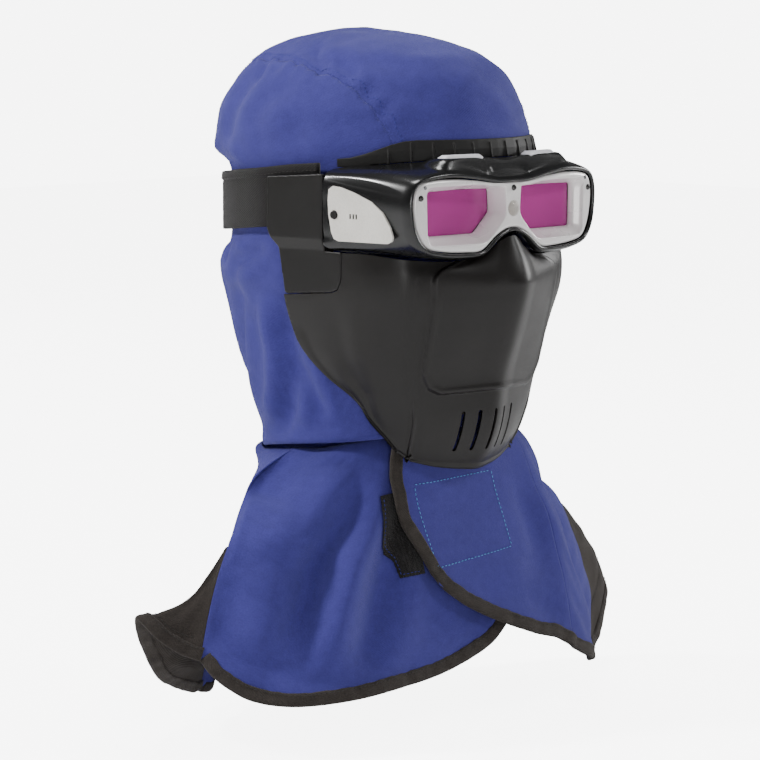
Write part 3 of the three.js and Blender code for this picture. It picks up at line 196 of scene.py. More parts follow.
def grid(name, G, closed=False, flip=False, uv=None):
    """Surface through a grid of points; UVs are lengths in metres."""
    nu, nv, _ = G.shape
    if uv is None:
        H = np.concatenate([G, G[:1]], 0) if closed else G
        lu, lv = lengths(H, 0), lengths(H, 1)
        mid = lu[:, nv // 2] if nv > 2 else lu[:, 0]
        U = np.broadcast_to(mid[:, None], lv.shape)
        uv = np.stack([U, lv], -1) * MM
    m = nu if closed else nu - 1
    i, j = np.meshgrid(np.arange(m), np.arange(nv - 1), indexing="ij")
    i, j = i.ravel(), j.ravel()
    i2 = (i + 1) % nu
    f = np.stack([i * nv + j, i2 * nv + j, i2 * nv + j + 1, i * nv + j + 1], 1)
    w = np.stack([uv[i, j], uv[i + 1, j], uv[i + 1, j + 1], uv[i, j + 1]], 1)
    if flip:
        f, w = f[:, ::-1], w[:, ::-1]
    return make(name, G.reshape(-1, 3), f, w.reshape(-1, 2))


def points_of(o):
    co = np.zeros(len(o.data.vertices) * 3)
    o.data.vertices.foreach_get("co", co)
    return co.reshape(-1, 3) / MM


def tube_along(name, P, A, B, profile, mat=None, wav=0.0, seed=0, cap=True, closed=False):
    """Sweeps a closed profile [(a, b)] along points P with directions A and B, all in mm."""
    n, m = len(P), len(profile)
    pr = np.array(profile, float)
    V = P[:, None, :] + A[:, None, :] * pr[None, :, :1] + B[:, None, :] * pr[None, :, 1:]
    if wav:
        k = np.arange(n)
        a = np.array([noise.noise(Vector((i * 0.22, seed * 3.7, 0.5))) for i in k])
        b = np.array([noise.noise(Vector((i * 0.3, seed * 1.7, 7.5))) for i in k])
        V += (B * (a * wav)[:, None])[:, None, :] + (A * (b * wav * 0.8)[:, None])[:, None, :] * (pr[None, :, :1] > 1)
    step = np.linalg.norm(np.diff(P, axis=0), axis=1)
    s = np.concatenate([[0], np.cumsum(step)])
    around = np.concatenate([[0], np.cumsum(np.linalg.norm(np.diff(np.vstack([pr, pr[:1]]), axis=0), axis=1))])
    faces, uvs = [], []
    for k in range(n - 1):
        for i in range(m):
            j = (i + 1) % m
            faces.append((k * m + i, k * m + j, (k + 1) * m + j, (k + 1) * m + i))
            uvs += [(s[k] * MM, around[i] * MM), (s[k] * MM, around[i + 1] * MM), (s[k + 1] * MM, around[i + 1] * MM), (s[k + 1] * MM, around[i] * MM)]
    if cap:
        faces += [tuple(range(m))[::-1], tuple((n - 1) * m + i for i in range(m))]
        uvs += [(0, 0)] * (2 * m)
    o = make(name, V.reshape(-1, 3), faces, uvs)
    if mat:
        o.data.materials.append(mat)
    return o


def fix_normals(o):
    bm = bmesh.new()
    bm.from_mesh(o.data)
    bmesh.ops.recalc_face_normals(bm, faces=bm.faces)
    bm.to_mesh(o.data)
    bm.free()
    return o


def blur(A, closed, times):
    """Grid values averaged with their neighbours."""
    for _ in range(times):
        if closed:
            A = (np.roll(A, 1, 0) + 2 * A + np.roll(A, -1, 0)) / 4
        else:
            B = A.copy()
            B[1:-1] = (A[:-2] + 2 * A[1:-1] + A[2:]) / 4
            A = B
        B = A.copy()
        B[:, 1:-1] = (A[:, :-2] + 2 * A[:, 1:-1] + A[:, 2:]) / 4
        A = B
    return A


def settle(o, pin, shape, closed=False, frames=22, grow=0.02, bend=0.6, gravity=0.4, soft=5):
    """Lets cloth relax: pin is how firmly each vertex keeps its place, 0 to 1; grow is the spare cloth."""
    vg = o.vertex_groups.new(name="pin")
    for i, w in enumerate(pin):
        vg.add([i], float(w), "REPLACE")
    m = o.modifiers.new("cloth", "CLOTH")
    s = m.settings
    s.quality = 6
    s.mass = 0.25
    s.tension_stiffness = s.compression_stiffness = 18
    s.shear_stiffness = 6
    s.bending_stiffness = bend
    s.tension_damping = s.compression_damping = s.shear_damping = 12
    s.air_damping = 3
    s.vertex_group_mass = "pin"
    s.pin_stiffness = 1.0
    s.shrink_min = -grow
    s.effector_weights.gravity = gravity
    m.collision_settings.use_collision = False
    m.collision_settings.use_self_collision = False
    m.point_cache.frame_start = 1
    m.point_cache.frame_end = frames
    sc = bpy.context.scene
    for f in range(1, frames + 1):
        sc.frame_set(f)
    dg = bpy.context.evaluated_depsgraph_get()
    me = bpy.data.meshes.new_from_object(o.evaluated_get(dg))
    co = np.zeros(len(me.vertices) * 3)
    me.vertices.foreach_get("co", co)
    o.modifiers.remove(m)
    sc.frame_set(1)
    if np.isfinite(co).all():
        old = points_of(o) * MM
        d = (co.reshape(-1, 3) - old).reshape(shape[0], shape[1], 3)
        d = blur(d, closed, soft)
        size = np.linalg.norm(d, axis=-1, keepdims=True)
        d *= np.minimum(1.0, 0.006 / np.maximum(size, 1e-9))
        o.data.vertices.foreach_set("co", (old + d.reshape(-1, 3)).ravel())
    o.data.update()
    bpy.data.meshes.remove(me)
    return o


def iso_cut(o, fun, keep):
    """Cuts a mesh along fun = 0 (points in mm) and keeps the side where keep(fun) is true."""
    bm = bmesh.new()
    bm.from_mesh(o.data)
    bm.verts.ensure_lookup_table()
    val = fun(np.array([v.co[:] for v in bm.verts]) / MM)
    val = np.where(np.abs(val) < 1e-4, 1e-4, val)
    idx = {v: float(val[k]) for k, v in enumerate(bm.verts)}
    new = []
    for e in [e for e in bm.edges if idx[e.verts[0]] * idx[e.verts[1]] < 0]:
        a, b = e.verts
        t = idx[a] / (idx[a] - idx[b])
        _, nv = bmesh.utils.edge_split(e, a, min(max(t, 0.02), 0.98))
        new.append(nv)
    bmesh.ops.connect_verts(bm, verts=new)
    bm.faces.ensure_lookup_table()
    c = fun(np.array([f.calc_center_median()[:] for f in bm.faces]) / MM)
    bad = [f for k, f in enumerate(bm.faces) if not keep(c[k])]
    bmesh.ops.delete(bm, geom=bad, context="FACES")
    bm.to_mesh(o.data)
    bm.free()
    return o


def copy_of(o, name):
    c = o.copy()
    c.data = o.data.copy()
    c.name = c.data.name = name
    return link(c)


def thick(o, t, offset=-1.0):
    m = o.modifiers.new("thick", "SOLIDIFY")
    m.thickness = t * MM
    m.offset = offset
    m.use_even_offset = False
    return o


def tree_of(*objs):
    verts, faces = [], []
    for o in objs:
        b = len(verts)
        verts += [v.co.copy() for v in o.data.vertices]
        faces += [[b + i for i in p.vertices] for p in o.data.polygons]
    return BVHTree.FromPolygons(verts, faces)


def lay(path, tree, lift=0.0, out=None):
    """Path points moved onto a surface; returns points and normals in mm."""
    P, N = [], []
    for p in path:
        co, n, _, _ = tree.find_nearest(Vector(p) * MM)
        n = n.copy()
        ref = Vector(out) if out is not None else Vector((co.x, co.y - 0.01, 0))
        if n.dot(ref) < 0:
            n.negate()
        P.append(np.array(co) / MM + np.array(n) * lift)
        N.append(np.array(n))
    return np.array(P), np.array(N)


def resample(P, step):
    P = np.asarray(P, float)
    s = np.concatenate([[0], np.cumsum(np.linalg.norm(np.diff(P, axis=0), axis=1))])
    n = max(2, int(s[-1] / step))
    t = np.linspace(0, s[-1], n)
    return np.stack([np.interp(t, s, P[:, k]) for k in range(P.shape[1])], 1)


def stitches(name, path, tree, mat, pitch=3.0, share=0.68, r=0.26, out=None, lift=0.1):
    """A row of thread stitches along a path on a surface."""
    s = resample(path, 0.5)
    P, N = lay(s, tree, 0, out)
    ln = np.concatenate([[0], np.cumsum(np.linalg.norm(np.diff(P, axis=0), axis=1))])
    verts, faces = [], []
    k = 0.0
    while k + pitch * share < ln[-1]:
        q = [np.array([np.interp(k + pitch * share * f, ln, P[:, c]) for c in range(3)]) for f in (0, 0.25, 0.5, 0.75, 1)]
        n = np.array([np.interp(k + pitch * share * 0.5, ln, N[:, c]) for c in range(3)])
        n /= np.linalg.norm(n)
        t = q[4] - q[0]
        b = np.cross(n, t)
        b /= max(np.linalg.norm(b), 1e-9)
        base = len(verts)
        jx = rnd.uniform(-0.12, 0.12)
        for f, h, w in ((0, -0.25, 0.35), (1, 0.7, 0.95), (2, 1.0, 1.0), (3, 0.7, 0.95), (4, -0.25, 0.35)):
            c = q[f] + n * (lift + r * h * 0.8) + b * jx
            for a in range(6):
                an = a * math.pi / 3
                verts.append(c + b * math.cos(an) * r * w + n * math.sin(an) * r * w * 0.8)
        for u in range(4):
            for a in range(6):
                c = (a + 1) % 6
                faces.append((base + u * 6 + a, base + u * 6 + c, base + (u + 1) * 6 + c, base + (u + 1) * 6 + a))
        faces.append(tuple(base + a for a in range(6))[::-1])
        faces.append(tuple(base + 24 + a for a in range(6)))
        k += pitch
    o = make(name, np.array(verts), faces)
    o.data.materials.append(mat)
    return o


# ------------------------------------------------------------------ materials
def new_mat(name, color, rough, metal=0.0):
    m = bpy.data.materials.new(name)
    m.use_nodes = True
    nt = m.node_tree
    b = nt.nodes["Principled BSDF"]
    b.inputs["Base Color"].default_value = (*color, 1)
    b.inputs["Roughness"].default_value = rough
    b.inputs["Metallic"].default_value = metal
    return m, nt, b


def node(nt, kind, **kw):
    n = nt.nodes.new(kind)
    for k, v in kw.items():
        if k in n.inputs:
            n.inputs[k].default_value = v
        else:
            setattr(n, k, v)
    return n


def lin(h):
    c = [int(h[i : i + 2], 16) / 255 for i in (0, 2, 4)]
    return tuple(x / 12.92 if x <= 0.04045 else ((x + 0.055) / 1.055) ** 2.4 for x in c)


def shade(nt, b, coord, base, amount, scales, strength=1.0):
    """Colour that varies softly at several scales (1/m)."""
    col = None
    prev = None
    for k, (sc, am) in enumerate(zip(scales, amount)):
        n = node(nt, "ShaderNodeTexNoise")
        n.inputs["Scale"].default_value = sc
        n.inputs["Detail"].default_value = 4.0
        nt.links.new(coord, n.inputs["Vector"])
        r = node(nt, "ShaderNodeMapRange")
        r.inputs["From Min"].default_value = 0.3
        r.inputs["From Max"].default_value = 0.7
        r.inputs["To Min"].default_value = 1 - am
        r.inputs["To Max"].default_value = 1 + am
        nt.links.new(n.outputs["Fac"], r.inputs["Value"])
        if prev is None:
            prev = r.outputs["Result"]
        else:
            mu = node(nt, "ShaderNodeMath", operation="MULTIPLY")
            nt.links.new(prev, mu.inputs[0])
            nt.links.new(r.outputs["Result"], mu.inputs[1])
            prev = mu.outputs[0]
    v = node(nt, "ShaderNodeHueSaturation")
    v.inputs["Color"].default_value = (*base, 1)
    nt.links.new(prev, v.inputs["Value"])
    nt.links.new(v.outputs["Color"], b.inputs["Base Color"])
    return v


def bump(nt, b, height, distance, strength, prev=None):
    n = node(nt, "ShaderNodeBump")
    n.inputs["Distance"].default_value = distance
    n.inputs["Strength"].default_value = strength
    nt.links.new(height, n.inputs["Height"])
    if prev is not None:
        nt.links.new(prev, n.inputs["Normal"])
    nt.links.new(n.outputs["Normal"], b.inputs["Normal"])
    return n.outputs["Normal"]


def wave(nt, coord, period, direction="X", rot=0.0, distortion=0.6, profile="SIN"):
    mp = node(nt, "ShaderNodeMapping")
    mp.inputs["Rotation"].default_value = (0, 0, rot)
    nt.links.new(coord, mp.inputs["Vector"])
    w = node(nt, "ShaderNodeTexWave", wave_type="BANDS", bands_direction=direction, wave_profile=profile)
    w.inputs["Scale"].default_value = 0.314 / period
    w.inputs["Distortion"].default_value = distortion
    w.inputs["Detail"].default_value = 1.0
    w.inputs["Detail Scale"].default_value = 0.5
    nt.links.new(mp.outputs["Vector"], w.inputs["Vector"])
    return w.outputs["Fac"]


def fabric(name, hexa, twill=0.0009, rough=0.88, sheen=0.16, tint=(0.6, 0.65, 1.0), mott=(0.05, 0.07, 0.10), strength=0.45, distance=0.00018):
    m, nt, b = new_mat(name, lin(hexa), rough)
    uv = node(nt, "ShaderNodeUVMap").outputs["UV"]
    shade(nt, b, uv, lin(hexa), mott, (22, 160, 900))
    b.inputs["Sheen Weight"].default_value = sheen
    b.inputs["Sheen Roughness"].default_value = 0.45
    b.inputs["Sheen Tint"].default_value = (*tint, 1)
    b.inputs["Specular IOR Level"].default_value = 0.25
    w1 = wave(nt, uv, twill, rot=math.radians(58))
    w2 = wave(nt, uv, twill * 0.62, rot=0.0)
    ad = node(nt, "ShaderNodeMath", operation="ADD")
    nt.links.new(w1, ad.inputs[0])
    nt.links.new(w2, ad.inputs[1])
    n1 = bump(nt, b, ad.outputs[0], distance, strength)
    nz = node(nt, "ShaderNodeTexNoise")
    nz.inputs["Scale"].default_value = 420
    nz.inputs["Detail"].default_value = 5
    nt.links.new(uv, nz.inputs["Vector"])
    bump(nt, b, nz.outputs["Fac"], 0.0004, 0.35, n1)
    return m


def plastic(name, hexa, rough, grain=0.00004, coat=0.0, spec=0.5, scale=3500, metal=0.0, mott=0.03):
    m, nt, b = new_mat(name, lin(hexa), rough, metal)
    co = node(nt, "ShaderNodeTexCoord").outputs["Object"]
    shade(nt, b, co, lin(hexa), (mott, mott), (60, 900))
    b.inputs["Specular IOR Level"].default_value = spec
    b.inputs["Coat Weight"].default_value = coat
    b.inputs["Coat Roughness"].default_value = 0.12
    nz = node(nt, "ShaderNodeTexNoise")
    nz.inputs["Scale"].default_value = scale
    nz.inputs["Detail"].default_value = 3
    nt.links.new(co, nz.inputs["Vector"])
    bump(nt, b, nz.outputs["Fac"], grain, 0.5)
    rr = node(nt, "ShaderNodeMapRange")
    rr.inputs["To Min"].default_value = rough * 0.86
    rr.inputs["To Max"].default_value = min(1, rough * 1.16)
    n2 = node(nt, "ShaderNodeTexNoise")
    n2.inputs["Scale"].default_value = 45
    nt.links.new(co, n2.inputs["Vector"])
    nt.links.new(n2.outputs["Fac"], rr.inputs["Value"])
    nt.links.new(rr.outputs["Result"], b.inputs["Roughness"])
    return m


def glass(name, color, rough, alpha):
    """Thin clear plastic: mostly see-through, with a surface reflection."""
    m, nt, b = new_mat(name, color, rough)
    b.inputs["Specular IOR Level"].default_value = 0.7
    b.inputs["Alpha"].default_value = alpha
    co = node(nt, "ShaderNodeTexCoord").outputs["Object"]
    nz = node(nt, "ShaderNodeTexNoise")
    nz.inputs["Scale"].default_value = 120
    nt.links.new(co, nz.inputs["Vector"])
    bump(nt, b, nz.outputs["Fac"], 0.00001, 0.2)
    return m


BLUE = fabric("blue_twill", "3f3d88")
DARK = fabric("black_knit", "35302d", twill=0.0011, rough=0.92, sheen=0.12, tint=(0.9, 0.85, 0.8), mott=(0.08, 0.12, 0.18), strength=0.6)
BIND = fabric("binding_tape", "37322f", twill=0.0012, rough=0.9, sheen=0.14, tint=(0.9, 0.85, 0.8), mott=(0.08, 0.14, 0.2), strength=0.7)
ELASTIC = fabric("woven_elastic", "1d1b1b", twill=0.0013, rough=0.85, sheen=0.2, tint=(0.8, 0.8, 0.8), mott=(0.05, 0.1, 0.2), strength=0.8)
HOOKS = fabric("hook_and_loop", "211f1f", twill=0.0016, rough=0.95, sheen=0.14, tint=(0.7, 0.7, 0.7), mott=(0.1, 0.2, 0.3), strength=1.0, distance=0.0004)
THREAD_BLUE, _, _b = new_mat("light_blue_thread", lin("5f9fe0"), 0.6)
THREAD_NAVY, _, _b = new_mat("navy_thread", lin("2c3390"), 0.6)
THREAD_DARK, _, _b = new_mat("dark_thread", lin("2a2624"), 0.65)
GLOSS = plastic("satin_black", "0e0e0f", 0.26, grain=0.00001, coat=0.35, spec=0.55, mott=0.04)
BRACKET = plastic("soft_black", "151312", 0.38, spec=0.45)
MASK_BLACK = plastic("mask_black", "171413", 0.4, grain=0.00005, spec=0.42, mott=0.05)
SEAL = plastic("seal_rubber", "191817", 0.55, grain=0.00006, spec=0.35)
FOAM = plastic("pad_foam", "1d1c1b", 0.85, grain=0.0003, scale=1400, spec=0.2, mott=0.12)
SILVER = plastic("silver_paint", "f2eee6", 0.4, grain=0.00003, spec=0.5, scale=6000, metal=0.1, mott=0.05)
BEZEL = plastic("bezel_silver", "f9f6f5", 0.28, grain=0.00001, spec=0.6, metal=0.12, coat=0.4, mott=0.02)
WHITE = plastic("white_moulding", "eceaf0", 0.35, grain=0.00001, mott=0.02)
FILTER = plastic("magenta_filter", "c0429a", 0.15, grain=0.000002, coat=0.2, mott=0.02)
CLEAR = glass("clear_plastic", (0.05, 0.02, 0.04), 0.05, 0.05)
DOME = glass("clear_dome", (0.95, 0.9, 0.8), 0.06, 0.13)
BOARD = plastic("circuit_board", "1d5a3a", 0.5)
GOLD = plastic("light_chip", "c8963c", 0.35, metal=0.6)
STEEL = plastic("screw_steel", "8a8a8c", 0.3, metal=0.9)
CELL = plastic("foil_cell", "b8bcc0", 0.35, metal=0.7)
SENSOR = plastic("sensor_glass", "1a1713", 0.08, coat=0.8, grain=0.000002)


# ------------------------------------------------------------------ head cover
HOOD = [[106.5, 6, 24, 14, 8, 2, 2], [104, 24, 22, 42, 27, 2, 2], [99, 42, 19, 65, 47, 2, 2], [90, 60, 15, 85, 70, 2.05, 2], [75, 76, 12, 97, 88, 2.05, 2.02], [55, 86, 10, 102.5, 102, 2.05, 2.02], [34, 88.5, 9, 107, 105, 2.05, 2.02], [24, 88, 9, 107, 90, 2.05, 2], [16, 87.5, 9, 105, 86.5, 2.05, 2], [-16, 87.5, 9, 96, 86.5, 2.1, 2], [-26, 87.5, 9, 90, 88.5, 2.1, 2], [-40, 87, 9, 86, 98, 2.1, 2], [-60, 84.5, 8, 82, 94, 2.15, 2], [-90, 81, 5, 76, 89.5, 2.2, 2], [-120, 79, 0, 68, 84, 2.3, 2], [-140, 79, -4, 62, 76, 2.4, 2], [-150, 81, -6, 60, 77, 2.45, 2]]
SEAM = [[56, -135], [57, -85], [59, -71], [63, -58], [65.5, -45], [66.4, -30], [66, -12], [63, 15], [55, 48], [45, 80], [40, 130]]
FACE = [[0, 20], [30, 19], [55, 13], [70, -2], [76, -30], [75, -60], [68, -88], [52, -108], [28, -119], [0, -122]]


def hoodF(phi, z):
    v = table(HOOD, z)
    a, yc, bf, bb, nf, nb = [v[..., k] for k in range(6)]
    c, s = np.cos(phi), np.sin(phi)
    n = np.where(c >= 0, nf, nb)
    b = np.where(c >= 0, bf, bb)
    return np.stack([a * np.sign(s) * np.abs(s) ** (2 / n), yc - b * np.sign(c) * np.abs(c) ** (2 / n), np.broadcast_to(z, a.shape) * 1.0], -1)


_sy = np.array(SEAM)[:, 1]
_sx = np.array(SEAM)[:, 0]


def seam_x(y):
    yy = np.linspace(-135, 130, 200)
    i = np.interp(yy, _sy, np.arange(len(_sy)))
    xx = spline(np.array(SEAM, float), i)[..., 0]
    return np.interp(y, yy, xx)


def rise(x, y):
    """How much higher the neck seam runs towards the front."""
    th = np.abs(np.arctan2(x, -y))
    k = np.clip(12.4 * (2.03 - th), 0, 40)
    return 16 * (1 - np.exp(-k / 16)) * 1.12


def poly_sdf(P, poly):
    """Signed distance of points (N,2) to a closed polygon, negative inside."""
    poly = np.array(poly, float)
    d = np.full(len(P), 1e9)
    inside = np.zeros(len(P), bool)
    for k in range(len(poly)):
        a, b = poly[k - 1], poly[k]
        e = b - a
        t = np.clip(((P - a) @ e) / (e @ e), 0, 1)
        d = np.minimum(d, np.linalg.norm(P - a - t[:, None] * e, axis=1))
        cond = (a[1] > P[:, 1]) != (b[1] > P[:, 1])
        with np.errstate(divide="ignore", invalid="ignore"):
            xx = a[0] + (P[:, 1] - a[1]) * (b[0] - a[0]) / (b[1] - a[1])
        inside ^= cond & (P[:, 0] < xx)
    return np.where(inside, -d, d)


def closed_curve(half, k):
    full = np.array(half + [[-p[0], *p[1:]] for p in half[1:-1][::-1]], float)
    n = len(full)
    q = np.vstack([full[-1:], full, full[:2]])
    x = 1 + np.arange(n * k) / k
    return spline(q, x)


FACE_LOOP = closed_curve(FACE, 6)

# folds of the hood: polylines in (angle, height), how wide and how deep
HF = [
    ([(-1.95, 92), (-1.924, 81.6), (-1.954, 63.3), (-2.017, 44.6), (-2.1, 34)], 9, -1.9),
    ([(-1.46, 96), (-1.33, 87.5), (-1.244, 81.8)], 4.5, -1.7),
    ([(-1.169, 88.9), (-1.031, 82.1), (-1.069, 77.4)], 4, -1.8),
    ([(-0.85, 75), (-0.909, 65.9)], 3.2, -1.3),
    ([(-0.74, 64), (-0.818, 55.4)], 3, -1.1),
    ([(-1.93, 88), (-1.834, 76)], 3.5, -1.4),
    ([(-1.75, 92), (-1.68, 80)], 4, -1.2),
    ([(-1.6, 70), (-1.72, 48)], 8, -0.9),
    ([(-1.3, 60), (-1.42, 36)], 9, -0.8),
    ([(-1.689, -52), (-1.66, -75), (-1.629, -90), (-1.72, -112), (-1.95, -138)], 9, 2.6),
    ([(-1.47, -60), (-1.509, -78), (-1.518, -98), (-1.6, -122), (-1.71, -142)], 7.5, -3.2),
    ([(-1.425, -92), (-1.35, -117), (-1.25, -138)], 8, -2.2),
    ([(-1.3, -70), (-1.24, -100), (-1.13, -130)], 7, 1.4),
    ([(-1.95, -32), (-2.06, -61), (-2.2, -90), (-2.4, -122)], 8, -2.4),
    ([(-2.35, -28), (-2.45, -60), (-2.62, -100), (-2.8, -138)], 10, 2.0),
    ([(-2.75, -26), (-2.85, -70), (-2.98, -120)], 9, -2.6),
    ([(-1.62, -24), (-1.8, -33), (-2.0, -34)], 5, -1.8),
    ([(-1.7, -40), (-1.9, -47), (-2.2, -50)], 6, 1.2),
    ([(-2.25, -26), (-2.2, -38)], 4, -1.2),
    ([(-3.14, -30), (-3.12, -70), (-3.1, -130)], 12, 1.6),
]
HF += [([(-a + 0.05 * math.sin(k * 2.1), z + 3 * math.cos(k * 1.3)) for a, z in L], w * (1 + 0.15 * math.sin(k)), d * (0.85 + 0.2 * math.cos(k * 1.7))) for k, (L, w, d) in enumerate(HF[:-1])]


def hood_mesh():
    N = int(250 * FINE)
    zz = np.linspace(106.5, -151.2, 900)
    m = hoodF(np.full(900, math.pi * 0.62), zz)
    s = lengths(m[None], 1)[0]
    rows = np.interp(np.linspace(0, s[-1], int(150 * FINE)), s, zz)
    phi = np.linspace(0, 2 * math.pi, N, endpoint=False)
    A, Z = np.meshgrid(phi, rows, indexing="ij")
    G = hoodF(A, Z)
    n = normals_of(G, True)
    ref = np.stack([G[..., 0], G[..., 1] - 10, np.where(Z > 60, 80, 0)], -1)
    n *= np.where((n * ref).sum(-1, keepdims=True) < 0, -1, 1)
    n[:, 0] = (0, 0, 1)
    a = np.where(A > math.pi, A - 2 * math.pi, A)
    rad = 86
    P2 = np.stack([a.ravel() * rad, Z.ravel()], 1)
    D = np.zeros(len(P2))
    for L, w, d in HF:
        for sh in (-2 * math.pi, 0, 2 * math.pi):
            L2 = np.array([((x + sh) * rad, y) for x, y in L])
            if L2[:, 0].min() - 40 > math.pi * rad or L2[:, 0].max() + 40 < -math.pi * rad:
                continue
            D += crease(P2, L2, w, d * 1.35)
    F = G.reshape(-1, 3)
    seam = np.abs(F[:, 0]) - seam_x(F[:, 1])
    on = ((F[:, 2] > 18) | (F[:, 1] > -14)).astype(float)
    # gathers where the side panel is eased into the crown
    arc = F[:, 1]
    side = smooth(-3, 3, seam)
    ease = smooth(-40, -10, arc) * smooth(70, 30, arc) * smooth(20, 60, F[:, 2])
    D += on * ease * 0.9 * np.sin(arc * 2 * math.pi / 12.5 + 1.5 * np.sin(arc / 17)) * np.exp(-((seam / 9) ** 2)) * (0.35 + 0.65 * side)
    # ripples above and below the strap
    near = np.exp(-(((P2[:, 1] - 33) / 7) ** 2)) + 1.2 * np.exp(-(((P2[:, 1] + 26) / 7) ** 2))
    back = smooth(1.25, 1.7, np.abs(P2[:, 0] / rad))
    D += back * near * (0.7 * np.sin(P2[:, 0] / 5.6) + 0.5 * np.sin(P2[:, 0] / 3.3 + 2) * np.sin(P2[:, 0] / 14))
    D += 1.3 * wob(F, 42, 3) + 0.55 * wob(F, 17, 5)
    D *= np.where(P2[:, 1] < -140, smooth(-151, -140, P2[:, 1]), 1)
    D -= on * 1.1 * np.exp(-((seam / 1.3) ** 2)) - on * 0.5 * np.exp(-(((seam + 2.6) / 1.8) ** 2))
    edge = np.exp(-(((P2[:, 1] + 151.2) / 2.0) ** 2))
    D -= 0.5 * edge
    # firm where the goggles and the strap press on it
    firm = smooth(1.15, 0.95, np.abs(P2[:, 0] / rad)) * smooth(42, 30, P2[:, 1]) * smooth(-150, -130, P2[:, 1])
    band = smooth(-24, -18, P2[:, 1] - (-0.1 * F[:, 1])) * smooth(30, 25, P2[:, 1] + 0.1 * F[:, 1])
    firm = np.maximum(firm, band)
    D = D * (1 - firm) + np.minimum(D, -0.2) * firm * 0.3
    G = (F + n.reshape(-1, 3) * D[:, None]).reshape(G.shape)
    G[..., 2] += rise(G[..., 0], G[..., 1]) * smooth(-105, -150, Z)
    # close the top
    c = np.array([0, 21.0, 107.0])
    top = [c + (G[:, 0] - c) * k + np.array([0, 0, 0.25 * (1 - k)]) for k in (0.12, 0.35, 0.6, 0.82)]
    G = np.concatenate([np.stack(top, 1), G], 1)
    o = grid("hood_cloth", G, closed=True)
    pin = np.full((N, G.shape[1]), 0.2)
    w = np.concatenate([np.ones((N, 4)), np.maximum(firm.reshape(N, -1), np.where(Z < -147, 1.0, 0.2))], 1)
    pin = np.maximum(pin, w)
    pin[:, 4:] = np.maximum(pin[:, 4:], 0.5 * np.exp(-((np.abs(seam.reshape(N, -1)) / 3) ** 2)))
    bm = bmesh.new()
    bm.from_mesh(o.data)
    bm.verts.ensure_lookup_table()
    bm.faces.new([bm.verts[i * G.shape[1]] for i in range(N)])
    bmesh.ops.recalc_face_normals(bm, faces=bm.faces)
    bm.to_mesh(o.data)
    bm.free()
    o.data.polygons.foreach_set("use_smooth", [True] * len(o.data.polygons))
    return o, pin.ravel(), G.shape


hood, pin, HS = hood_mesh()
settle(hood, pin, HS[:2], True, frames=16, grow=0.014, bend=2.0, gravity=0.1, soft=3)
HG = points_of(hood)[: HS[0] * HS[1]].reshape(HS)
HOOD_TREE = tree_of(hood)

# binding round the face opening
path = []
for p in FACE_LOOP:
    c = np.array([0, -51.0])
    d = p - c
    q = c + d * (1 + 3.6 / np.linalg.norm(d))
    hit, nn, _, _ = HOOD_TREE.ray_cast(Vector((q[0], -200, q[1])) * MM, Vector((0, 1, 0)))
    path.append(np.array(hit) / MM if hit is not None else np.array([q[0], -20, q[1]]))
path = np.array(path + path[:1])
P, N = lay(path, HOOD_TREE)
T = np.gradient(P, axis=0)
T /= np.linalg.norm(T, axis=1, keepdims=True)
W = np.cross(N, T)
face_bind = tube_along("face_binding", P, W, N, [(-4, -1.2), (-4.2, -0.3), (-3.8, 0.7), (-2, 1.0), (0, 0.8), (2, 1.0), (3.8, 0.7), (4.2, -0.3), (4, -1.2), (3.4, -1.9), (-3.4, -1.9)], BIND, cap=False)
fix_normals(face_bind)
iso_cut(hood, lambda p: np.where(p[:, 1] < -5, poly_sdf(p[:, [0, 2]], FACE_LOOP) - 4.5, 5.0), lambda v: v > 0)


def crown_side(p):
    return np.where((p[:, 1] < -14) & (p[:, 2] < 20), 2.0, np.abs(p[:, 0]) - seam_x(p[:, 1]))


crown = copy_of(hood, "crown_cloth")
iso_cut(crown, crown_side, lambda v: v < 0)
sides = hood
iso_cut(sides, crown_side, lambda v: v > 0)
side_l = copy_of(sides, "hood_side_left")
side_r = sides
side_r.name = side_r.data.name = "hood_side_right"
iso_cut(side_l, lambda p: p[:, 0], lambda v: v > 0)
iso_cut(side_r, lambda p: p[:, 0], lambda v: v < 0)

pieces_soft = []
for o, n in ((crown, "hood_crown_panel"), (side_l, "hood_side_panel_left"), (side_r, "hood_side_panel_right")):
    o.data.materials.clear()
    o.data.materials.append(BLUE)
    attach(o, "hood")
    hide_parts(n)
    pieces_soft.append(o)
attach(face_bind, "hood")
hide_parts("face_opening_binding")

for sgn, nm in ((-1, "right"), (1, "left")):
    y = np.linspace(-84, 112, 260)
    x = seam_x(y) - 2.4
    pts = []
    for a, b in zip(x, y):
        hit, nn, _, _ = HOOD_TREE.ray_cast(Vector((sgn * a, b, 200)) * MM, Vector((0, 0, -1)))
        if hit is not None and hit.z > 0.03:
            pts.append(np.array(hit) / MM)
    st = stitches("crown_stitch_" + nm, pts, HOOD_TREE, THREAD_NAVY, pitch=2.8, r=0.2)
    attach(st, "hood")

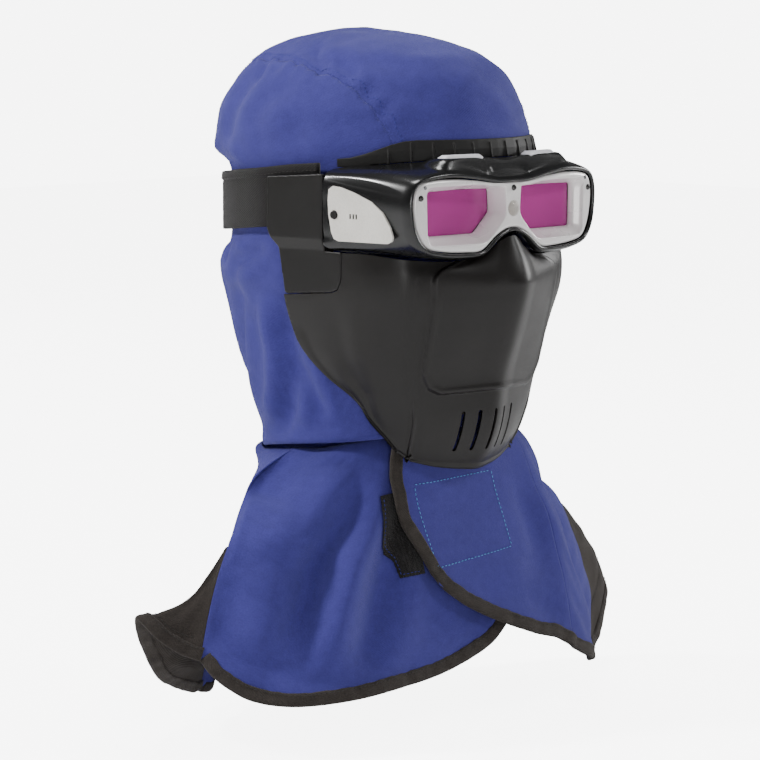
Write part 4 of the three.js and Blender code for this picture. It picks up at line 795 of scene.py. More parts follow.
# ------------------------------------------------------------------ bib
FRONT_R = [[-150, 0, -66, 29, -64, 56, -54.5, 75, -35, 81, 0], [-163, 0, -68.3, 34, -66.5, 66, -57, 90, -35, 104, 3], [-178, 0, -71, 38, -69, 75, -59, 105, -37, 122, -3], [-200, 0, -75.5, 42.5, -73, 86, -63, 124, -42, 148, -18], [-235, 0, -81.5, 47.5, -79, 95, -68, 137, -46, 164.5, -20], [-270, 0, -87.5, 50, -86, 100, -75, 145, -51, 174, -21], [-315, 0, -95, 53, -94, 106, -82, 152, -56, 181, -22]]
FRONT_L = [[-150, 0, -66, 29, -64, 56, -55, 76, -37, 83, -2], [-163, 0, -68.3, 35, -68, 69, -61.5, 93, -44.5, 104, -6], [-178, 0, -71, 38, -71, 77, -64.5, 107, -41, 120, -8], [-200, 0, -75.5, 43, -75, 87, -68, 119, -43.5, 144, -17], [-235, 0, -81.5, 48, -81.5, 96, -73, 134, -47.5, 160, -20], [-270, 0, -87.5, 51, -88, 102, -79, 143, -51.5, 171, -21], [-315, 0, -95, 53, -95.5, 105, -84, 146.5, -50, 175, -21]]
BACK_Y = [[-150, 72], [-163, 75], [-178, 77], [-200, 81], [-235, 88], [-270, 94], [-315, 100]]
SPLIT = 0.42
FLAP_EDGE = [[-0.405, -150.6], [-0.394, -165], [-0.357, -176.4], [-0.3, -194.7], [-0.252, -204.9], [-0.202, -217.8], [-0.153, -230.2]]
FLAP_HEM = [[-0.153, -230.2], [-0.1, -237.4], [-0.03, -245.8], [0.064, -254.9], [0.173, -264], [0.261, -270.3], [0.35, -275.5], [SPLIT, -284]]
LEFT_HEM = [[SPLIT, -284], [0.522, -293], [0.7, -303], [0.85, -309], [1, -311]]
RIGHT_HEM = [[0.18, -254], [0.081, -269.5], [-0.011, -276.3], [-0.147, -282.7], [-0.341, -287.1], [-0.507, -290.6], [-0.654, -292], [-0.76, -289.4], [-0.846, -284.7], [-0.939, -275], [-1, -264.5]]
GR = dict(side=-1, apex=[147, -17.6, -198], sag=14, rim=[[173.6, -21, -264.5], [183, -13, -259.5], [195, -4, -248], [199, 6, -237.5], [186, 19, -253], [166, 30, -276], [148, 39, -290], [118, 50, -302], [100, 58, -306]])
GL = dict(side=1, apex=[146, -17.4, -204], sag=-12, rim=[[174.6, -21, -311], [190, -14, -305], [207, -5, -290], [219, 4, -273], [214, 18, -268], [196, 31, -280], [172, 42, -292], [140, 50, -302], [112, 57, -306]])
ZT = -148.9


def frontF(s, z):
    s, z = np.broadcast_arrays(np.asarray(s, float), np.asarray(z, float))
    r, l = table(FRONT_R, z), table(FRONT_L, z)
    me = np.where((s < 0)[..., None], r, l).reshape(z.shape + (5, 2))
    ot = np.where((s < 0)[..., None], l, r).reshape(z.shape + (5, 2))
    before = np.stack([-ot[..., 1, 0], ot[..., 1, 1]], -1)
    q = spline(me, np.abs(s) * 4, before)
    return np.stack([np.where(s < 0, -q[..., 0], q[..., 0]), q[..., 1], z], -1)


def back_seam(g, z):
    h = table(FRONT_R if g["side"] < 0 else FRONT_L, z)[..., 8:10]
    a, e = g["apex"], g["rim"][-1]
    k = np.clip((a[2] - z) / (a[2] - e[2]), 0, 1.1)[..., None]
    low = np.array(a[:2]) + (np.array(e[:2]) - np.array(a[:2])) * k + np.concatenate([0 * k, 4 * k], -1)
    return np.where((z >= a[2])[..., None], h, low)


def backF(s, z):
    s, z = np.broadcast_arrays(np.asarray(s, float), np.asarray(z, float))
    yb = table(BACK_Y, z)[..., 0]
    k = smooth(-150, -166, z)
    f0 = np.array([[1, 0], [0.93, 0.42], [0.75, 0.75], [0.42, 0.94], [0, 1]])
    f1 = np.array([[1, 0], [0.8, 0.32], [0.57, 0.62], [0.3, 0.87], [0, 1]])
    f = f0 + (f1 - f0) * k[..., None, None]
    pts = []
    for g in (GL, GR):
        b = back_seam(g, z)
        x = g["side"] * b[..., :1] * f[..., 0]
        y = b[..., 1:] + (yb[..., None] - b[..., 1:]) * f[..., 1]
        pts.append(np.stack([x, y], -1))
    q = np.concatenate([pts[0], pts[1][..., :-1, :][..., ::-1, :]], -2)
    r = spline(q, s * 4)
    return np.concatenate([r, z[..., None]], -1)


def along(rows):
    r = np.array(rows, float)
    return lambda x: spline(r, np.asarray(x) * (len(r) - 1))


def line(a, b):
    a, b = np.array(a, float), np.array(b, float)
    return lambda x: a + (b - a) * np.asarray(x)[..., None]


def patch_sz(top, bottom, left, right, nu, nv):
    s, t = np.meshgrid(np.linspace(0, 1, nu), np.linspace(0, 1, nv), indexing="ij")
    s1, t1 = s[..., None], t[..., None]
    c00, c10, c01, c11 = left(np.array(0.0)), right(np.array(0.0)), left(np.array(1.0)), right(np.array(1.0))
    return (1 - s1) * left(t) + s1 * right(t) + (1 - t1) * top(s) + t1 * bottom(s) - ((1 - s1) * (1 - t1) * c00 + s1 * (1 - t1) * c10 + (1 - s1) * t1 * c01 + s1 * t1 * c11)


# folds of the bib front in (place across, height), width, depth
BF = [
    ([(-0.62, -138), (-0.72, -145), (-0.80, -152), (-0.87, -164), (-0.956, -178)], 9, -5.0),
    ([(-0.56, -142), (-0.66, -156), (-0.76, -173), (-0.86, -190), (-0.93, -206)], 11, 3.4),
    ([(-0.45, -142), (-0.51, -160), (-0.555, -178), (-0.60, -196), (-0.63, -216), (-0.66, -252), (-0.67, -270)], 9.5, -4.6),
    ([(-0.40, -170), (-0.44, -192), (-0.51, -210), (-0.55, -238), (-0.58, -266)], 10, 3.0),
    ([(-0.33, -205), (-0.365, -229), (-0.415, -251), (-0.47, -274)], 11, -2.6),
    ([(-0.78, -205), (-0.84, -230), (-0.88, -262)], 13, 1.8),
    ([(-0.92, -215), (-0.93, -258)], 8, -1.6),
    ([(-0.75, -262), (-0.78, -288)], 9, -1.6),
    ([(0.5, -160), (0.47, -200), (0.44, -245), (0.43, -280)], 14, 1.6),
    ([(0.62, -165), (0.68, -210), (0.75, -260), (0.8, -300)], 12, -3.0),
    ([(0.85, -190), (0.88, -240), (0.9, -290)], 10, 2.0),
    ([(-0.02, -236), (0.1, -243), (0.25, -250), (0.4, -262)], 9, -1.3),
    ([(0.3, -175), (0.33, -215), (0.3, -245)], 13, -1.0),
]


def fold_front(S, P, seed=0):
    """Fold depth at (place, height) S for points P, both (N, .) in mm."""
    X = frontF(S[:, 0], S[:, 1])[:, 0]
    Q = np.stack([X, S[:, 1]], 1)
    D = np.zeros(len(S))
    for L, w, d in BF:
        L = np.array(L)
        seen_z = L[:, 1].copy()
        for _ in range(5):
            q = frontF(L[:, 0], L[:, 1])
            L[:, 1] = seen_z - rise(q[:, 0], q[:, 1]) * smooth(-188, -150.3, L[:, 1])
        px = frontF(L[:, 0], L[:, 1])[:, 0]
        D += crease(Q, np.stack([px, L[:, 1]], 1), w, d * (1.9 if d < 0 else 1.35))
    D += 1.4 * wob(P, 55, 8 + seed) + 0.5 * wob(P, 20, 9 + seed)
    return D


def draw_in(P, S):
    """How far the sides and back of the bib are drawn in just under the neck seam."""
    w = np.maximum(smooth(25, 60, np.abs(P[..., 0])), smooth(30, 60, P[..., 1]))
    return 4.6 * smooth(-174, -151, S[..., 1]) * w * smooth(-62, -10, P[..., 1])


def shaped(G, S, D, out, seam_top=True):
    """Grid moved along its outward normal by D, then lifted to the sloping neck seam."""
    n = normals_of(G)
    mid = n[n.shape[0] // 2, n.shape[1] // 2]
    if mid @ np.array(out, float) < 0:
        n = -n
    G = G + n * D[..., None]
    G[..., 2] += rise(G[..., 0], G[..., 1]) * smooth(-188, -150.3, S[..., 1])
    return G


def cloth_patch(name, f, sz, D, out, pins, frames=18, grow=0.014, bend=2.0):
    G = shaped(f(sz[..., 0], sz[..., 1]), sz, D, out)
    o = grid(name, G)
    w = np.full(G.shape[:2], pins.get("in", 0.12))
    e = 3
    if "t" in pins:
        w[:, :e] = np.maximum(w[:, :e], pins["t"])
    if "b" in pins:
        w[:, -e:] = np.maximum(w[:, -e:], pins["b"])
    if "l" in pins:
        w[:e] = np.maximum(w[:e], pins["l"])
    if "r" in pins:
        w[-e:] = np.maximum(w[-e:], pins["r"])
    settle(o, w.ravel(), G.shape[:2], False, frames=frames, grow=grow, bend=bend, gravity=0.3)
    G = points_of(o).reshape(G.shape)
    n = normals_of(G)
    mid = n[n.shape[0] // 2, n.shape[1] // 2]
    if mid @ np.array(out, float) < 0:
        o.data.flip_normals() if hasattr(o.data, "flip_normals") else None
        n = -n
    fix_side(o, out)
    return o, G, n


def fix_side(o, out):
    """Faces turned so that they look outwards."""
    me = o.data
    nsum = Vector((0, 0, 0))
    me.update()
    for p in me.polygons:
        nsum += p.normal * p.area
    if nsum.dot(Vector(out)) < 0:
        bm = bmesh.new()
        bm.from_mesh(me)
        bmesh.ops.reverse_faces(bm, faces=bm.faces)
        bm.to_mesh(me)
        bm.free()


def edge_of(G, n, side, k=3):
    """Border points, inward directions and normals of a grid."""
    if side == "b":
        P, Q, N = G[:, -1], G[:, -1 - k], n[:, -1]
    elif side == "t":
        P, Q, N = G[:, 0], G[:, k], n[:, 0]
    elif side == "l":
        P, Q, N = G[0], G[k], n[0]
    else:
        P, Q, N = G[-1], G[-1 - k], n[-1]
    T = np.gradient(P, axis=0)
    T /= np.maximum(np.linalg.norm(T, axis=1, keepdims=True), 1e-9)
    d = Q - P
    d -= T * (d * T).sum(1, keepdims=True)
    d /= np.maximum(np.linalg.norm(d, axis=1, keepdims=True), 1e-9)
    return P, d, N


TAPE = [(-0.9, -0.6), (-0.75, 0.1), (-0.2, 0.75), (0.8, 1.05), (2.4, 1.15), (4.2, 0.95), (5.8, 1.0), (7.0, 0.85), (7.7, 0.35), (7.7, -1.5), (7.0, -2.05), (5.8, -2.2), (4.2, -2.15), (2.4, -2.35), (0.8, -2.25), (-0.2, -1.95), (-0.75, -1.3)]


def bind(name, P, d, N, seed=0, closed=False):
    K = np.concatenate([P, d, N], 1)
    for _ in range(4):
        B = K.copy()
        B[1:-1] = (K[:-2] + 2 * K[1:-1] + K[2:]) / 4
        K = B
    K = resample3(K, 1.6)
    P, d, N = K[:, :3], K[:, 3:6], K[:, 6:9]
    for a in (d, N):
        a /= np.linalg.norm(a, axis=1, keepdims=True)
    o = tube_along(name, P, d, N, TAPE, BIND, wav=0.9, seed=seed)
    fix_normals(o)
    row = P + d * 6.2 + N * 1.0
    st = stitch_rows(name + "_stitch", row, N, THREAD_DARK, pitch=3.0, r=0.24)
    return o, st


def resample3(K, step):
    s = np.concatenate([[0], np.cumsum(np.linalg.norm(np.diff(K[:, :3], axis=0), axis=1))])
    n = max(3, int(s[-1] / step))
    t = np.linspace(0, s[-1], n)
    return np.stack([np.interp(t, s, K[:, k]) for k in range(K.shape[1])], 1)


def stitch_rows(name, P, N, mat, pitch=3.0, r=0.25, share=0.66, lift=0.1):
    """Stitches along a path whose normals are known."""
    K = resample3(np.concatenate([P, N], 1), 0.5)
    P, N = K[:, :3], K[:, 3:]
    ln = np.concatenate([[0], np.cumsum(np.linalg.norm(np.diff(P, axis=0), axis=1))])
    starts = np.arange(0.5, ln[-1] - pitch, pitch)
    fr = np.array([0, 0.25, 0.5, 0.75, 1.0])
    hh = np.array([-0.25, 0.7, 1.0, 0.7, -0.25])
    ww = np.array([0.35, 0.95, 1.0, 0.95, 0.35])
    at = starts[:, None] + fr * pitch * share
    q = np.stack([np.interp(at, ln, P[:, c]) for c in range(3)], -1)
    n = np.stack([np.interp(at, ln, N[:, c]) for c in range(3)], -1)
    n /= np.linalg.norm(n, axis=-1, keepdims=True)
    t = q[:, -1:] - q[:, :1]
    b = np.cross(n, t)
    b /= np.maximum(np.linalg.norm(b, axis=-1, keepdims=True), 1e-9)
    jit = np.array([rnd.uniform(-0.12, 0.12) for _ in starts])[:, None, None]
    c = q + n * (lift + r * 0.8 * hh[:, None]) + b * jit
    an = np.arange(6) * math.pi / 3
    V = c[:, :, None] + (b[:, :, None] * np.cos(an)[:, None] + n[:, :, None] * np.sin(an)[:, None] * 0.8) * (r * ww)[:, None, None]
    faces = []
    for k in range(len(starts)):
        base = k * 30
        for u in range(4):
            for a in range(6):
                e = (a + 1) % 6
                faces.append((base + u * 6 + a, base + u * 6 + e, base + (u + 1) * 6 + e, base + (u + 1) * 6 + a))
        faces.append(tuple(base + a for a in range(6))[::-1])
        faces.append(tuple(base + 24 + a for a in range(6)))
    o = make(name, V.reshape(-1, 3), faces)
    o.data.materials.append(mat)
    return o


def put(o, body, slot, *nodes):
    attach(o, body)
    if nodes:
        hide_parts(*nodes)
    return o


def swing(o, slot, *nodes):
    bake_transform(o)
    if nodes:
        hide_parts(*nodes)
    return o


def skin(o, mat, t=1.3):
    o.data.materials.clear()
    o.data.materials.append(mat)
    return o


Q = lambda n: max(12, int(n * FINE))
OUTF = (0, -1, 0.1)

# right front panel
sz = patch_sz(lambda s: np.stack([0.18 - 1.18 * s, np.full_like(s, ZT)], -1), along(RIGHT_HEM), line([0.18, ZT], RIGHT_HEM[0]), lambda t: np.stack([np.full_like(t, -1.0), ZT + (RIGHT_HEM[10][1] - ZT) * t], -1), Q(130), Q(90))
P0 = frontF(sz[..., 0], sz[..., 1])
D = fold_front(sz.reshape(-1, 2), P0.reshape(-1, 3)).reshape(sz.shape[:2])
D *= smooth(ZT, ZT - 10, sz[..., 1]) * smooth(-1.0, -0.96, sz[..., 0]) * 0.9 + 0.1 * (sz[..., 1] < ZT - 4)
D = D - 2.5 * np.exp(-(((sz[..., 1] - ZT) / 2.6) ** 2)) - draw_in(P0, sz)
D = D - 5.4 * smooth(-98, -58, P0[..., 0]) * smooth(-1.0, -0.86, sz[..., 0])
bib_r, G_R, N_R = cloth_patch("bib_right", frontF, sz, D, OUTF, {"t": 1, "l": 0.9, "r": 1, "b": 0.7, "in": 0.14})
skin(bib_r, BLUE)
put(bib_r, "hood", "fabric_blue", "bib_panel_right")
TREE_R = tree_of(bib_r)
P, d, N = edge_of(G_R, N_R, "b")
o, st = bind("hem_right", P, d, N, 1)
put(o, "hood", "fabric_black", "hem_binding_right")
put(st, "hood", "fabric_black")

# flap
sz = patch_sz(line([FLAP_EDGE[0][0], ZT], [SPLIT, ZT]), along(FLAP_HEM), along([[FLAP_EDGE[0][0], ZT]] + FLAP_EDGE[1:]), line([SPLIT, ZT], [SPLIT, -284]), Q(110), Q(100))
P0 = frontF(sz[..., 0], sz[..., 1])
D = fold_front(sz.reshape(-1, 2), P0.reshape(-1, 3)).reshape(sz.shape[:2])
flat = smooth(0.34, 0.24, sz[..., 0]) * smooth(-226, -216, sz[..., 1]) * 0.8
D = D * (1 - flat) * smooth(ZT, ZT - 10, sz[..., 1])
D = np.where(sz[..., 0] < SPLIT - 0.3, D * 0.45 + 0.4, D * (0.45 + 0.55 * smooth(SPLIT - 0.3, SPLIT, sz[..., 0])) + 0.4 * smooth(SPLIT, SPLIT - 0.3, sz[..., 0]))
D = D - 2.5 * np.exp(-(((sz[..., 1] - ZT) / 2.6) ** 2)) - draw_in(P0, sz)
flap, G_F, N_F = cloth_patch("flap_cloth", frontF, sz, D, OUTF, {"t": 1, "l": 0.5, "r": 1, "b": 0.6, "in": 0.3}, grow=0.006)
skin(flap, BLUE)
TREE_F = tree_of(flap)
Pl, dl, Nl = edge_of(G_F, N_F, "l")
Pb, db, Nb = edge_of(G_F, N_F, "b")
cut = 4
P = np.vstack([Pl[:-cut], Pb[cut:]])
d = np.vstack([dl[:-cut], db[cut:]])
N = np.vstack([Nl[:-cut], Nb[cut:]])
fb, fbs = bind("flap_tape", P, d, N, 2)
# stitched rectangle that holds the hook patch
rect = [(-0.276, -168.6), (0.18, -166.0), (0.202, -214.1), (-0.158, -219.9), (-0.276, -168.6)]
for k in range(4):
    a, b = np.array(rect[k]), np.array(rect[k + 1])
    q = a + (b - a) * np.linspace(0.0, 1.0, 40)[:, None]
    pts = frontF(q[:, 0], q[:, 1])
    PP, NN = lay(pts, TREE_F, 0, OUTF)
    st = stitch_rows(f"patch_stitch_{k + 1}", PP, NN, THREAD_BLUE, pitch=2.9, r=0.3, share=0.62)
    swing(st, "fabric_blue")
swing(flap, "fabric_blue", "bib_flap")
swing(fb, "fabric_black", "flap_binding")
swing(fbs, "fabric_black")

# left front panel
lh = [[SPLIT, -284]] + LEFT_HEM[1:]
sz = patch_sz(line([SPLIT, ZT], [1, ZT]), along(lh), line([SPLIT, ZT], [SPLIT, -284]), lambda t: np.stack([np.full_like(t, 1.0), ZT + (LEFT_HEM[4][1] - ZT) * t], -1), Q(80), Q(100))
P0 = frontF(sz[..., 0], sz[..., 1])
D = fold_front(sz.reshape(-1, 2), P0.reshape(-1, 3)).reshape(sz.shape[:2])
D = D * smooth(ZT, ZT - 10, sz[..., 1]) * smooth(1.0, 0.95, sz[..., 0])
D = D - 2.5 * np.exp(-(((sz[..., 1] - ZT) / 2.6) ** 2)) - draw_in(P0, sz)
bib_l, G_L, N_L = cloth_patch("bib_left", frontF, sz, D, OUTF, {"t": 1, "l": 1, "r": 1, "b": 0.7, "in": 0.14})
skin(bib_l, BLUE)
put(bib_l, "hood", "fabric_blue", "bib_panel_left")
P, d, N = edge_of(G_L, N_L, "b")
o, st = bind("hem_left", P, d, N, 3)
put(o, "hood", "fabric_black", "hem_binding_left")
put(st, "hood", "fabric_black")

# back panel
e = 0.0
sz = patch_sz(lambda s: np.stack([e + (2 - 2 * e) * s, np.full_like(s, ZT)], -1), lambda s: np.stack([e + (2 - 2 * e) * s, -306 + 3 * np.sin(math.pi * s)], -1), line([e, ZT], [e, -306]), line([2 - e, ZT], [2 - e, -306]), Q(170), Q(90))
P0 = backF(sz[..., 0], sz[..., 1])
X = P0[..., 0]
D = np.zeros(sz.shape[:2])
k = smooth(-158, -230, sz[..., 1])
for x0, w, a in ((-95, 12, -4), (-68, 12, 3), (-42, 11, -4.5), (-12, 13, 3.4), (14, 11, -4.2), (40, 12, 3), (70, 12, -4.2), (98, 13, 3)):
    xc = x0 * (0.62 + 0.38 * smooth(-150, -290, sz[..., 1])) + 5 * np.sin(sz[..., 1] / 33 + x0)
    D += a * k * np.exp(-(((X - xc) / w) ** 2))
D += (1.3 * wob(P0.reshape(-1, 3), 50, 21) + 0.5 * wob(P0.reshape(-1, 3), 20, 22)).reshape(D.shape)
D *= smooth(ZT, ZT - 10, sz[..., 1]) * smooth(0, 0.08, sz[..., 0]) * smooth(2, 1.92, sz[..., 0])
D = D - 2.5 * np.exp(-(((sz[..., 1] - ZT) / 2.6) ** 2)) - draw_in(P0, sz)
bib_b, G_B, N_B = cloth_patch("bib_back", backF, sz, D, (0, 1, 0.1), {"t": 1, "l": 1, "r": 1, "b": 0.6, "in": 0.14})
skin(bib_b, BLUE)
put(bib_b, "hood", "fabric_blue", "bib_back_panel")
P, d, N = edge_of(G_B, N_B, "b")
o, st = bind("hem_back", P, d, N, 4)
put(o, "hood", "fabric_black", "hem_binding_back")
put(st, "hood", "fabric_black")


# shoulder gussets
def gusset(g, name):
    sd = g["side"]
    R = np.array([[sd * x, y, z] for x, y, z in g["rim"]], float)
    A = np.array([sd * g["apex"][0], g["apex"][1], g["apex"][2]], float)
    s, t = np.meshgrid(np.linspace(0, 1, Q(90)), np.concatenate([[0.02, 0.05], np.linspace(0.09, 1, Q(46))]), indexing="ij")
    E = spline(R, s * (len(R) - 1))
    zf = A[2] + (R[0][2] - A[2]) * t
    zb = A[2] + (R[-1][2] - A[2]) * t
    fr = frontF(np.full_like(t, float(sd)), zf)
    bk = backF(np.full_like(t, 0.014 if sd > 0 else 1.986), zb)
    t1 = t[..., None]
    p = A + (E - A) * t1 + (fr - (A + (R[0] - A) * t1)) * (1 - s[..., None]) ** 3 + (bk - (A + (R[-1] - A) * t1)) * s[..., None] ** 3
    p[..., 2] -= g["sag"] * np.sin(math.pi * t) * np.sin(math.pi * s)
    p[..., 0] += sd * 0.6 * np.sin(math.pi * s) ** 0.5
    n = normals_of(p)
    out = np.array([sd, 0, 0.8])
    if n[n.shape[0] // 2, n.shape[1] // 2] @ out < 0:
        n = -n
    D = (1.6 * wob(p.reshape(-1, 3), 30, 31 + sd) + 0.7 * wob(p.reshape(-1, 3), 12, 33 + sd)).reshape(t.shape) * np.sin(math.pi * s) * smooth(0, 0.3, t)
    D += -0.9 * np.exp(-(((1 - t) * 60 - 13) / 1.4) ** 2) * smooth(0.02, 0.1, s)
    p = p + n * D[..., None]
    o = grid("gusset_cloth_" + name, p)
    w = np.full(t.shape, 0.14)
    w[:, :3] = 1
    w[:, -3:] = 0.8
    w[:3] = 1
    w[-3:] = 1
    settle(o, w.ravel(), t.shape, False, frames=16, grow=0.016, bend=2.0, gravity=0.3)
    G = points_of(o).reshape(p.shape)
    n = normals_of(G)
    if n[n.shape[0] // 2, n.shape[1] // 2] @ out < 0:
        n = -n
    fix_side(o, out)
    skin(o, DARK)
    put(o, "hood", "fabric_black", "gusset_" + name)
    P, d, N = edge_of(G, n, "b")
    q, st = bind("gusset_tape_" + name, P, d, N, 5 + sd)
    put(q, "hood", "fabric_black", "gusset_rim_" + name)
    put(st, "hood", "fabric_black")
    k = int(G.shape[1] * 0.78)
    st = stitch_rows("gusset_stitch_" + name, G[4:-4, k] + n[4:-4, k] * 0.15, n[4:-4, k], THREAD_DARK, pitch=3.0, r=0.24)
    put(st, "hood", "fabric_black")
    return o, G, n


gus_r, G_GR, _ = gusset(GR, "right")
gus_l, G_GL, _ = gusset(GL, "left")

# hook patch behind the flap and the loop strip on the right panel
hz = patch_sz(line([-0.26, -170], [0.18, -168]), line([-0.13, -213], [0.2, -212]), line([-0.26, -170], [-0.13, -213]), line([0.18, -168], [0.2, -212]), 40, 34)
pts = frontF(hz[..., 0], hz[..., 1])
PP, NN = lay(pts.reshape(-1, 3), TREE_F, -1.9, OUTF)
hook = grid("hook_pad", PP.reshape(pts.shape))
fix_side(hook, OUTF)
skin(hook, HOOKS)
swing(hook, "fabric_black", "hook_patch")
lz = patch_sz(line([-0.424, -173], [-0.26, -171]), line([-0.313, -222.5], [-0.19, -222]), line([-0.424, -173], [-0.313, -222.5]), line([-0.26, -171], [-0.19, -222]), 24, 50)
pts = frontF(lz[..., 0], lz[..., 1])
PP, NN = lay(pts.reshape(-1, 3), TREE_R, 1.0, OUTF)
PP, NN = PP.reshape(pts.shape), NN.reshape(pts.shape)
loop = grid("loop_pad", PP)
fix_side(loop, OUTF)
skin(loop, HOOKS)
put(loop, "hood", "fabric_black", "loop_strip")
ring_i = [(2, j) for j in range(2, 48)] + [(i, 47) for i in range(2, 22)]
st = stitch_rows("loop_stitch", np.array([PP[i, j] for i, j in ring_i]), np.array([NN[i, j] for i, j in ring_i]), THREAD_NAVY, pitch=2.6, r=0.22)
put(st, "hood", "fabric_blue")

# ------------------------------------------------------------------ strap
a = np.linspace(0, math.pi, 140)
arc = np.stack([91.7 * np.cos(a), 9 + 91.7 * np.sin(a)], 1)
left = spline(np.array([[86.4, -34], [89.6, -14], [91.7, 9.0]]), np.linspace(0, 2, 30))[:-1]
sp = np.vstack([left, arc, left[::-1] * [-1, 1]])
sp = resample(sp, 2.0)
T = np.gradient(sp, axis=0)
T /= np.linalg.norm(T, axis=1, keepdims=True)
nn = np.stack([T[:, 1], -T[:, 0], 0 * T[:, 0]], 1)
if nn[len(nn) // 2][1] < 0:
    nn = -nn
P = np.stack([sp[:, 0], sp[:, 1], 7 - 0.1 * sp[:, 1]], 1)
up = np.tile([0, 0, 1.0], (len(P), 1))
prof = [(-18.0, -0.9), (-18.2, 0), (-18.0, 0.9), (-17.2, 1.1)] + [(a, 1.1 + 0.05 * math.sin(a)) for a in np.linspace(-15, 11.4, 12)] + [(12.4, 0.75), (12.9, 1.5), (14.5, 1.7), (16.8, 1.65), (17.8, 1.3), (18.2, 0.2), (18.0, -0.9)] + [(a, -1.1) for a in np.linspace(16, -16, 8)]
P = P + nn * np.array([0.5 * noise.noise(Vector((i * 0.09, 3, 1))) for i in range(len(P))])[:, None]
P[:, 2] += np.array([0.5 * noise.noise(Vector((i * 0.06, 9, 1))) for i in range(len(P))])
strap = tube_along("strap_band", P, up, nn, prof, ELASTIC)
fix_normals(strap)
put(strap, "hood", "elastic", "head_strap")
st = stitch_rows("strap_stitch", P + up * 13.8 + nn * 1.6, nn, THREAD_DARK, pitch=3.0, r=0.22)
put(st, "hood", "elastic")


# ------------------------------------------------------------------ lower mask
MASK = [
    [[0, -112.2, -15.8], [8, -109.6, -18.9], [20, -105.6, -27.2], [38, -100.2, -29.6], [54.6, -94.8, -29.2], [70, -88, -27.6], [82, -71, -25], [88.3, -50, -24.8], [94.2, -6, -24.8]],
    [[0, -120.8, -39], [18, -113, -39], [36, -105.2, -38.5], [54.6, -97, -38], [63, -93.5, -38], [72, -87.5, -38], [82.5, -71.5, -38], [88.3, -50, -38], [94, -9.5, -38]],
    [[0, -120.2, -49], [18, -112, -51], [36, -104, -52], [54.4, -96, -52], [63, -92.3, -52], [71.5, -86, -52], [81.5, -70.5, -52], [87.6, -49.5, -52], [93.8, -10.5, -52]],
    [[0, -112.9, -70], [18, -106.3, -70], [36, -99.4, -70], [53, -92, -70], [60.5, -88, -70], [67.5, -82, -70], [78.5, -67, -70], [85, -48, -70], [90, -13, -70]],
    [[0, -107.2, -86], [17.5, -101, -86], [35, -95, -86], [51.8, -88.2, -86], [58, -84.5, -86], [64, -79, -86], [74.5, -64, -86], [81.5, -45, -86], [85.5, -19.5, -86]],
    [[0, -101.9, -101], [17, -96.5, -101], [34, -91, -101], [50.5, -85, -101], [56, -81, -101], [61, -76, -101], [69, -62, -101], [75.5, -44.5, -101], [78, -31, -101]],
    [[0, -100.4, -115], [16.5, -94.8, -115], [33, -89, -115], [48.8, -82.4, -115], [53.5, -78.5, -115], [57.5, -73.5, -115], [63.5, -61.5, -115], [67.5, -51.5, -115], [68.5, -45.8, -115]],
    [[0, -98.6, -128], [16, -93, -128], [32, -87, -128], [47, -79.6, -128], [51, -75.8, -128], [54.5, -71, -128], [58.5, -63, -128], [61, -56, -128], [62.2, -53.5, -128]],
    [[0, -94.8, -140], [15.7, -89.5, -140], [31, -83.3, -140], [45.8, -75.2, -140], [49.3, -71.8, -140], [52, -68, -139.6], [54.3, -64, -139], [55.2, -62.6, -138.5], [56.4, -60.4, -138]],
    [[0, -88.5, -152], [15.4, -83.8, -151.5], [30.5, -77.8, -150.5], [44.6, -70.5, -148.5], [47.3, -69.2, -147.6], [49.4, -67.9, -146.8], [50.8, -66.8, -146], [51.8, -65.8, -145.3], [52.6, -64.8, -144.8]],
    [[0, -81.6, -160.5], [14.5, -78.4, -159.4], [28.5, -73.8, -157.2], [41.5, -68.6, -153.6], [44, -67.6, -152.2], [46, -66.8, -150.8], [47.7, -66.1, -149.4], [49, -65.5, -148.2], [50, -65, -147.2]],
]


def mask_grid(nu, nv):
    s = np.linspace(-1, 1, nu)
    rows = []
    for r in np.array(MASK, float):
        before = np.array([-r[1][0], r[1][1], r[1][2]])
        rows.append(spline(r, np.abs(s) * 8, np.broadcast_to(before, (nu, 3))))
    R = np.stack(rows, 1)
    t = np.linspace(0, 1, nv)
    G = spline(np.broadcast_to(R[:, None], (nu, nv) + R.shape[1:]), np.broadcast_to(t * 10, (nu, nv)))
    G[..., 0] *= np.sign(s)[:, None] + (s[:, None] == 0)
    return G, s, t


